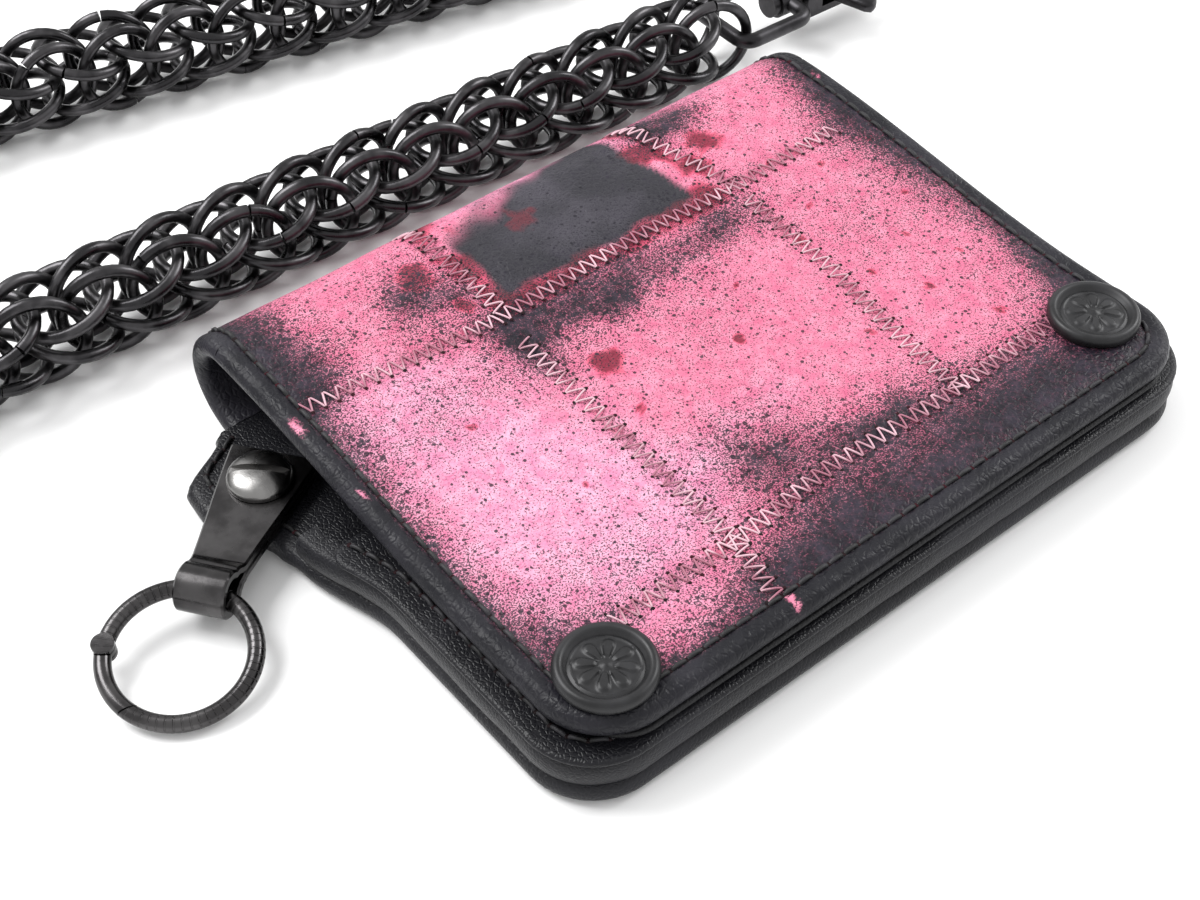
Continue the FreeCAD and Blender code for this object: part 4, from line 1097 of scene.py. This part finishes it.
# Leash screw: turned steel with a polished slotted dome, screwed into a flat nut let into the underside.
SCREW_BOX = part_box("leash_screw")
HEAD_RADIUS = 4.6 * MM
HEAD_TALL = 2.2 * MM
HEAD_WALL = 0.35 * MM
SHANK_RADIUS = 2 * MM
HEAD_BASE = SCREW_BOX[1][2] - HEAD_TALL
SLOT_HALF = 0.55 * MM
SLOT_DEEP = 0.9 * MM


def dome_height(x, y):
    share = min(math.hypot(x, y) / HEAD_RADIUS, 1.0)
    return HEAD_BASE + HEAD_WALL + (HEAD_TALL - HEAD_WALL) * math.sqrt(max(1 - share ** 2.6, 0))


def make_screw():
    points, faces = [], []
    rows, columns = 16, 28
    turn = Matrix.Rotation(math.radians(47), 4, "Z")
    for sign in (1, -1):
        first = len(points)
        for row in range(rows + 1):
            x = SLOT_HALF + (HEAD_RADIUS - SLOT_HALF) * math.sin(math.pi / 2 * row / rows)
            reach = math.sqrt(max(HEAD_RADIUS ** 2 - x ** 2, 0))
            line = [(x, reach * math.sin(math.pi * (k / columns - 0.5))) for k in range(columns + 1)]
            points += [(sign * px, py, dome_height(px, py)) for px, py in line]
            if row == 0:
                slot_line = [(sign * px, py, HEAD_BASE + HEAD_TALL - SLOT_DEEP) for px, py in line]
        for row in range(rows):
            for k in range(columns):
                a = first + row * (columns + 1) + k
                faces.append((a, a + 1, a + columns + 2, a + columns + 1))
        wall = len(points)
        points += [(x, y, min(z, dome_height(x, y))) for x, y, z in slot_line]
        points += [(0, y, min(z, dome_height(x, y))) for x, y, z in slot_line]
        for k in range(columns):
            faces.append((first + k, first + k + 1, wall + k + 1, wall + k))
            faces.append((wall + k, wall + k + 1, wall + columns + 2 + k, wall + columns + 1 + k))
    points = [turn @ Vector(point) for point in points]
    skirt = [(HEAD_RADIUS, HEAD_BASE + HEAD_WALL), (HEAD_RADIUS, HEAD_BASE), (SHANK_RADIUS, HEAD_BASE),
             (SHANK_RADIUS, SCREW_BOX[0][2]), (ON_AXIS, SCREW_BOX[0][2])]
    skirt_points, skirt_faces = turned((0, 0, 0), skirt, lambda radius, angle: 0.0, 48)
    faces += [tuple(k + len(points) for k in face) for face in skirt_faces]
    points += skirt_points
    shift = Vector((*SCREW_SPOT, 0))
    return finish_mesh("leash_screw_dome", [point + shift for point in points], faces, SCREW_NICKEL, 40)


screw = make_screw()
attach(screw, nodes_of["leash_screw"]["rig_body"])
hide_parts("leash_screw")
dress(SCREW_NICKEL, "leash_nut")


# Key ring: drawn steel wire bent round, with a spring gate on a riveted pin. Plain tick marks are cut across
# its upper face all the way round. Black nickel.
KEY_CENTRE = Vector((-80.42, 5.48, 3.16)) * MM
KEY_NORMAL = Vector((-0.0905, -0.166, 0.982)).normalized()
KEY_TICKS = 60


def ticked_nickel():
    material = BLACK_NICKEL.copy()
    material.name = "ticked_nickel"
    tree = material.node_tree
    shader = tree.nodes["Principled BSDF"]
    polish = shader.inputs["Normal"].links[0].from_socket
    _, minus, times = arithmetic(tree)
    place = node(tree, "ShaderNodeTexCoord").outputs["Object"]
    offset = vector_calculate(tree, "SUBTRACT", place, KEY_CENTRE)
    first = KEY_NORMAL.orthogonal().normalized()

    def along(axis):
        product = node(tree, "ShaderNodeVectorMath", {0: offset, 1: axis}, operation="DOT_PRODUCT")
        return product.outputs["Value"]

    angle = calculate(tree, "ARCTAN2", along(KEY_NORMAL.cross(first)), along(first))
    turns = times(angle, KEY_TICKS / (2 * math.pi))
    apart = calculate(tree, "ABSOLUTE", minus(calculate(tree, "FRACT", turns), 0.5))
    upper = remap(tree, along(KEY_NORMAL), 0.0001, 0.0005)
    mark = times(remap(tree, apart, 0.06, 0.14, 1.0, 0.0), upper)
    bump(tree, shader, minus(1.0, mark), 0.8, 0.0002, polish)
    return material


dress(ticked_nickel(), "key_ring")
dress(BLACK_NICKEL, "key_ring_gate", "key_ring_pin")


# Chain: box chain of butt-closed round rings in pairs, upright pairs and flat pairs in turn, each pair
# leaning into the next so that the rings lie over one another like a plait.
LINK_RADIUS = 7 * MM
LINK_WIRE = 0.97 * MM
LINK_PITCH = 5.7 * MM
LINK_OFFSET = 2.8 * MM
LINK_LEAN = math.radians(12.5)
RING_SWEEP = math.radians(358.2)
CHAIN_START = Vector((57, 62.3, 7.97)) * MM
NEAR_HEADING = math.radians(180 - 2.1)
FAR_HEADING = math.radians(-11)
NEAR_LENGTH = 150 * MM
TURN_RADIUS = 32.5 * MM
CHAIN_LENGTHS = [(0, 11), (12, 23), (24, 46), (47, 62), (63, 79)]


def ring_group():
    """A butt-closed wire ring at every point, turned as its point says, the closure at a random place."""
    tree, given = node_group("wire_rings", ("Radius", "Wire"), ("Steel",), ("Seed",))
    add = partial(first_out, tree)
    arc = add("GeometryNodeCurveArc", {"Radius": given["Radius"], "Sweep Angle": RING_SWEEP}, Resolution=37)
    profile = add("GeometryNodeCurvePrimitiveCircle", {"Radius": given["Wire"]}, Resolution=8)
    ring = add("GeometryNodeCurveToMesh", {"Curve": arc, "Profile Curve": profile}, Fill_Caps=True)
    turn = add("GeometryNodeInputNamedAttribute", data_type="FLOAT_VECTOR", Name="turn")
    placed = add("GeometryNodeInstanceOnPoints", {
        "Points": given["Geometry"], "Instance": ring,
        "Rotation": add("FunctionNodeEulerToRotation", {"Euler": turn})})
    spin = node(tree, "FunctionNodeRandomValue", {3: 2 * math.pi, "Seed": given["Seed"]}, data_type="FLOAT")
    swirl = add("ShaderNodeCombineXYZ", {"Z": spin.outputs[1]})
    spun = add("GeometryNodeRotateInstances", {"Instances": placed, "Rotation": swirl})
    real = add("GeometryNodeRealizeInstances", {"Geometry": spun})
    steel = add("GeometryNodeSetMaterial", {"Geometry": real, "Material": given["Steel"]})
    node(tree, "NodeGroupOutput", {"Geometry": steel})
    return tree


def chain_station(distance):
    """Middle of the chain and its direction, at a distance from the near clasp."""
    heading = NEAR_HEADING
    spot = CHAIN_START + Vector((math.cos(heading), math.sin(heading), 0)) * min(distance, NEAR_LENGTH)
    whole = NEAR_HEADING - FAR_HEADING
    turned_by = min(max(distance - NEAR_LENGTH, 0) / TURN_RADIUS, whole)
    centre = spot + Vector((math.sin(heading), -math.cos(heading), 0)) * TURN_RADIUS
    heading -= turned_by
    forward = Vector((math.cos(heading), math.sin(heading), 0))
    spot = centre - Vector((math.sin(heading), -math.cos(heading), 0)) * TURN_RADIUS
    return spot + forward * max(distance - NEAR_LENGTH - TURN_RADIUS * whole, 0), forward


def link_pair(number):
    """Middles and turns of the two leaning rings of one pair."""
    spot, forward = chain_station(number * LINK_PITCH)
    across = Vector((0, 0, 1)).cross(-forward)
    upright = number % 2 == 0
    spread = across if upright else Vector((0, 0, 1))
    pair = []
    for sign in (1, -1):
        first = -forward * math.cos(LINK_LEAN) + spread * (sign * math.sin(LINK_LEAN))
        second = Vector((0, 0, 1)) if upright else across
        facing = first.cross(second)
        pair.append((spot + spread * (sign * LINK_OFFSET),
                     Matrix((first, second, facing)).transposed().to_euler()))
    return pair


WIRE_RINGS = ring_group()
for count, (first_link, last_link) in enumerate(CHAIN_LENGTHS, start=1):
    rings = [ring for number in range(first_link, last_link + 1) for ring in link_pair(number)]
    links = grow(f"links_{count}", WIRE_RINGS, [tuple(spot) for spot, _ in rings], [],
                 {"turn": [tuple(turn) for _, turn in rings]},
                 Radius=LINK_RADIUS, Wire=LINK_WIRE, Seed=count, Steel=CHAIN_STEEL)
    cad_name = f"chain_length_{count}"
    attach(links, nodes_of[cad_name]["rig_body"])
    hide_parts(cad_name)


# Clasps: cast steel swivel hooks. A bent-rod eye goes through the last links and turns on a headed post; the
# hook is shut by a thumb lever with a smooth rounded tongue, on a pin with a small coiled spring.
PIVOT = Vector((27.6, -2.5, -0.6)) * MM
LEVER_ARM = [(12.3, -1.2, 1.0), (9.0, -0.95, 1.05), (4.0, -0.4, 1.05), (0.0, 0.0, 1.35), (0.9, -2.6, 1.15),
             (2.0, -5.2, 1.5), (2.8, -7.4, 1.75), (3.15, -8.4, 1.2), (3.25, -8.75, 0.3)]
LEVER_THICK = 1.08 * MM
CAST_ROUND = 0.9 * MM
SHARP_EDGE = math.radians(40)


def softened(cad_name, name, width, material):
    """A cast part: the machined form with all its sharp edges rounded over."""
    work = bmesh.new()
    work.from_mesh(nodes_of[cad_name].data)
    bmesh.ops.remove_doubles(work, verts=work.verts, dist=2e-6)
    bmesh.ops.dissolve_limit(work, angle_limit=math.radians(0.5), verts=work.verts, edges=work.edges)
    sharp = [edge for edge in work.edges
             if len(edge.link_faces) == 2 and edge.calc_face_angle(0) > SHARP_EDGE]
    bmesh.ops.bevel(work, geom=sharp, offset=width, segments=3, profile=0.5, affect="EDGES",
                    clamp_overlap=True)
    points = [tuple(vertex.co) for vertex in work.verts]
    faces = [tuple(vertex.index for vertex in face.verts) for face in work.faces]
    work.free()
    return finish_mesh(name, points, faces, material, 35)


def make_lever(name, pose):
    """Thumb lever: an oval section that follows the gate arm, the hub and the tongue."""
    line = [(x * MM, y * MM) for x, y, _ in LEVER_ARM]
    points = []
    count = 16
    for (x, y), (nx, ny), (_, _, half) in zip(line, inward(line), LEVER_ARM):
        for angle in (2 * math.pi * j / count for j in range(count)):
            side = math.copysign(abs(math.cos(angle)) ** 0.7, math.cos(angle)) * half * MM
            up = math.copysign(abs(math.sin(angle)) ** 0.7, math.sin(angle)) * min(LEVER_THICK, half * MM)
            points.append(pose @ (PIVOT + Vector((x - nx * side, y - ny * side, up))))
    return finish_mesh(name, points, ring_faces(len(line), count, capped=True), CLASP_STEEL)


for side_name, link, sense in (("near", 0, -1), ("far", CHAIN_LENGTHS[-1][1], 1)):
    spot, forward = chain_station(link * LINK_PITCH)
    forward = forward * sense
    pose = Matrix.Translation(spot) @ Matrix.Rotation(math.atan2(forward.y, forward.x), 4, "Z")
    lever = make_lever(f"{side_name}_thumb_lever", pose)
    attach(lever, nodes_of[f"{side_name}_clasp_trigger"]["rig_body"])
    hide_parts(f"{side_name}_clasp_trigger")
    casting = softened(f"{side_name}_clasp_hook", f"{side_name}_hook_casting", CAST_ROUND, CLASP_STEEL)
    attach(casting, nodes_of[f"{side_name}_clasp_hook"]["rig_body"])
    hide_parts(f"{side_name}_clasp_hook")
    dress(CLASP_STEEL, f"{side_name}_clasp_bow", f"{side_name}_clasp_swivel", f"{side_name}_clasp_pin")
    dress(SPRING_STEEL, f"{side_name}_clasp_spring")
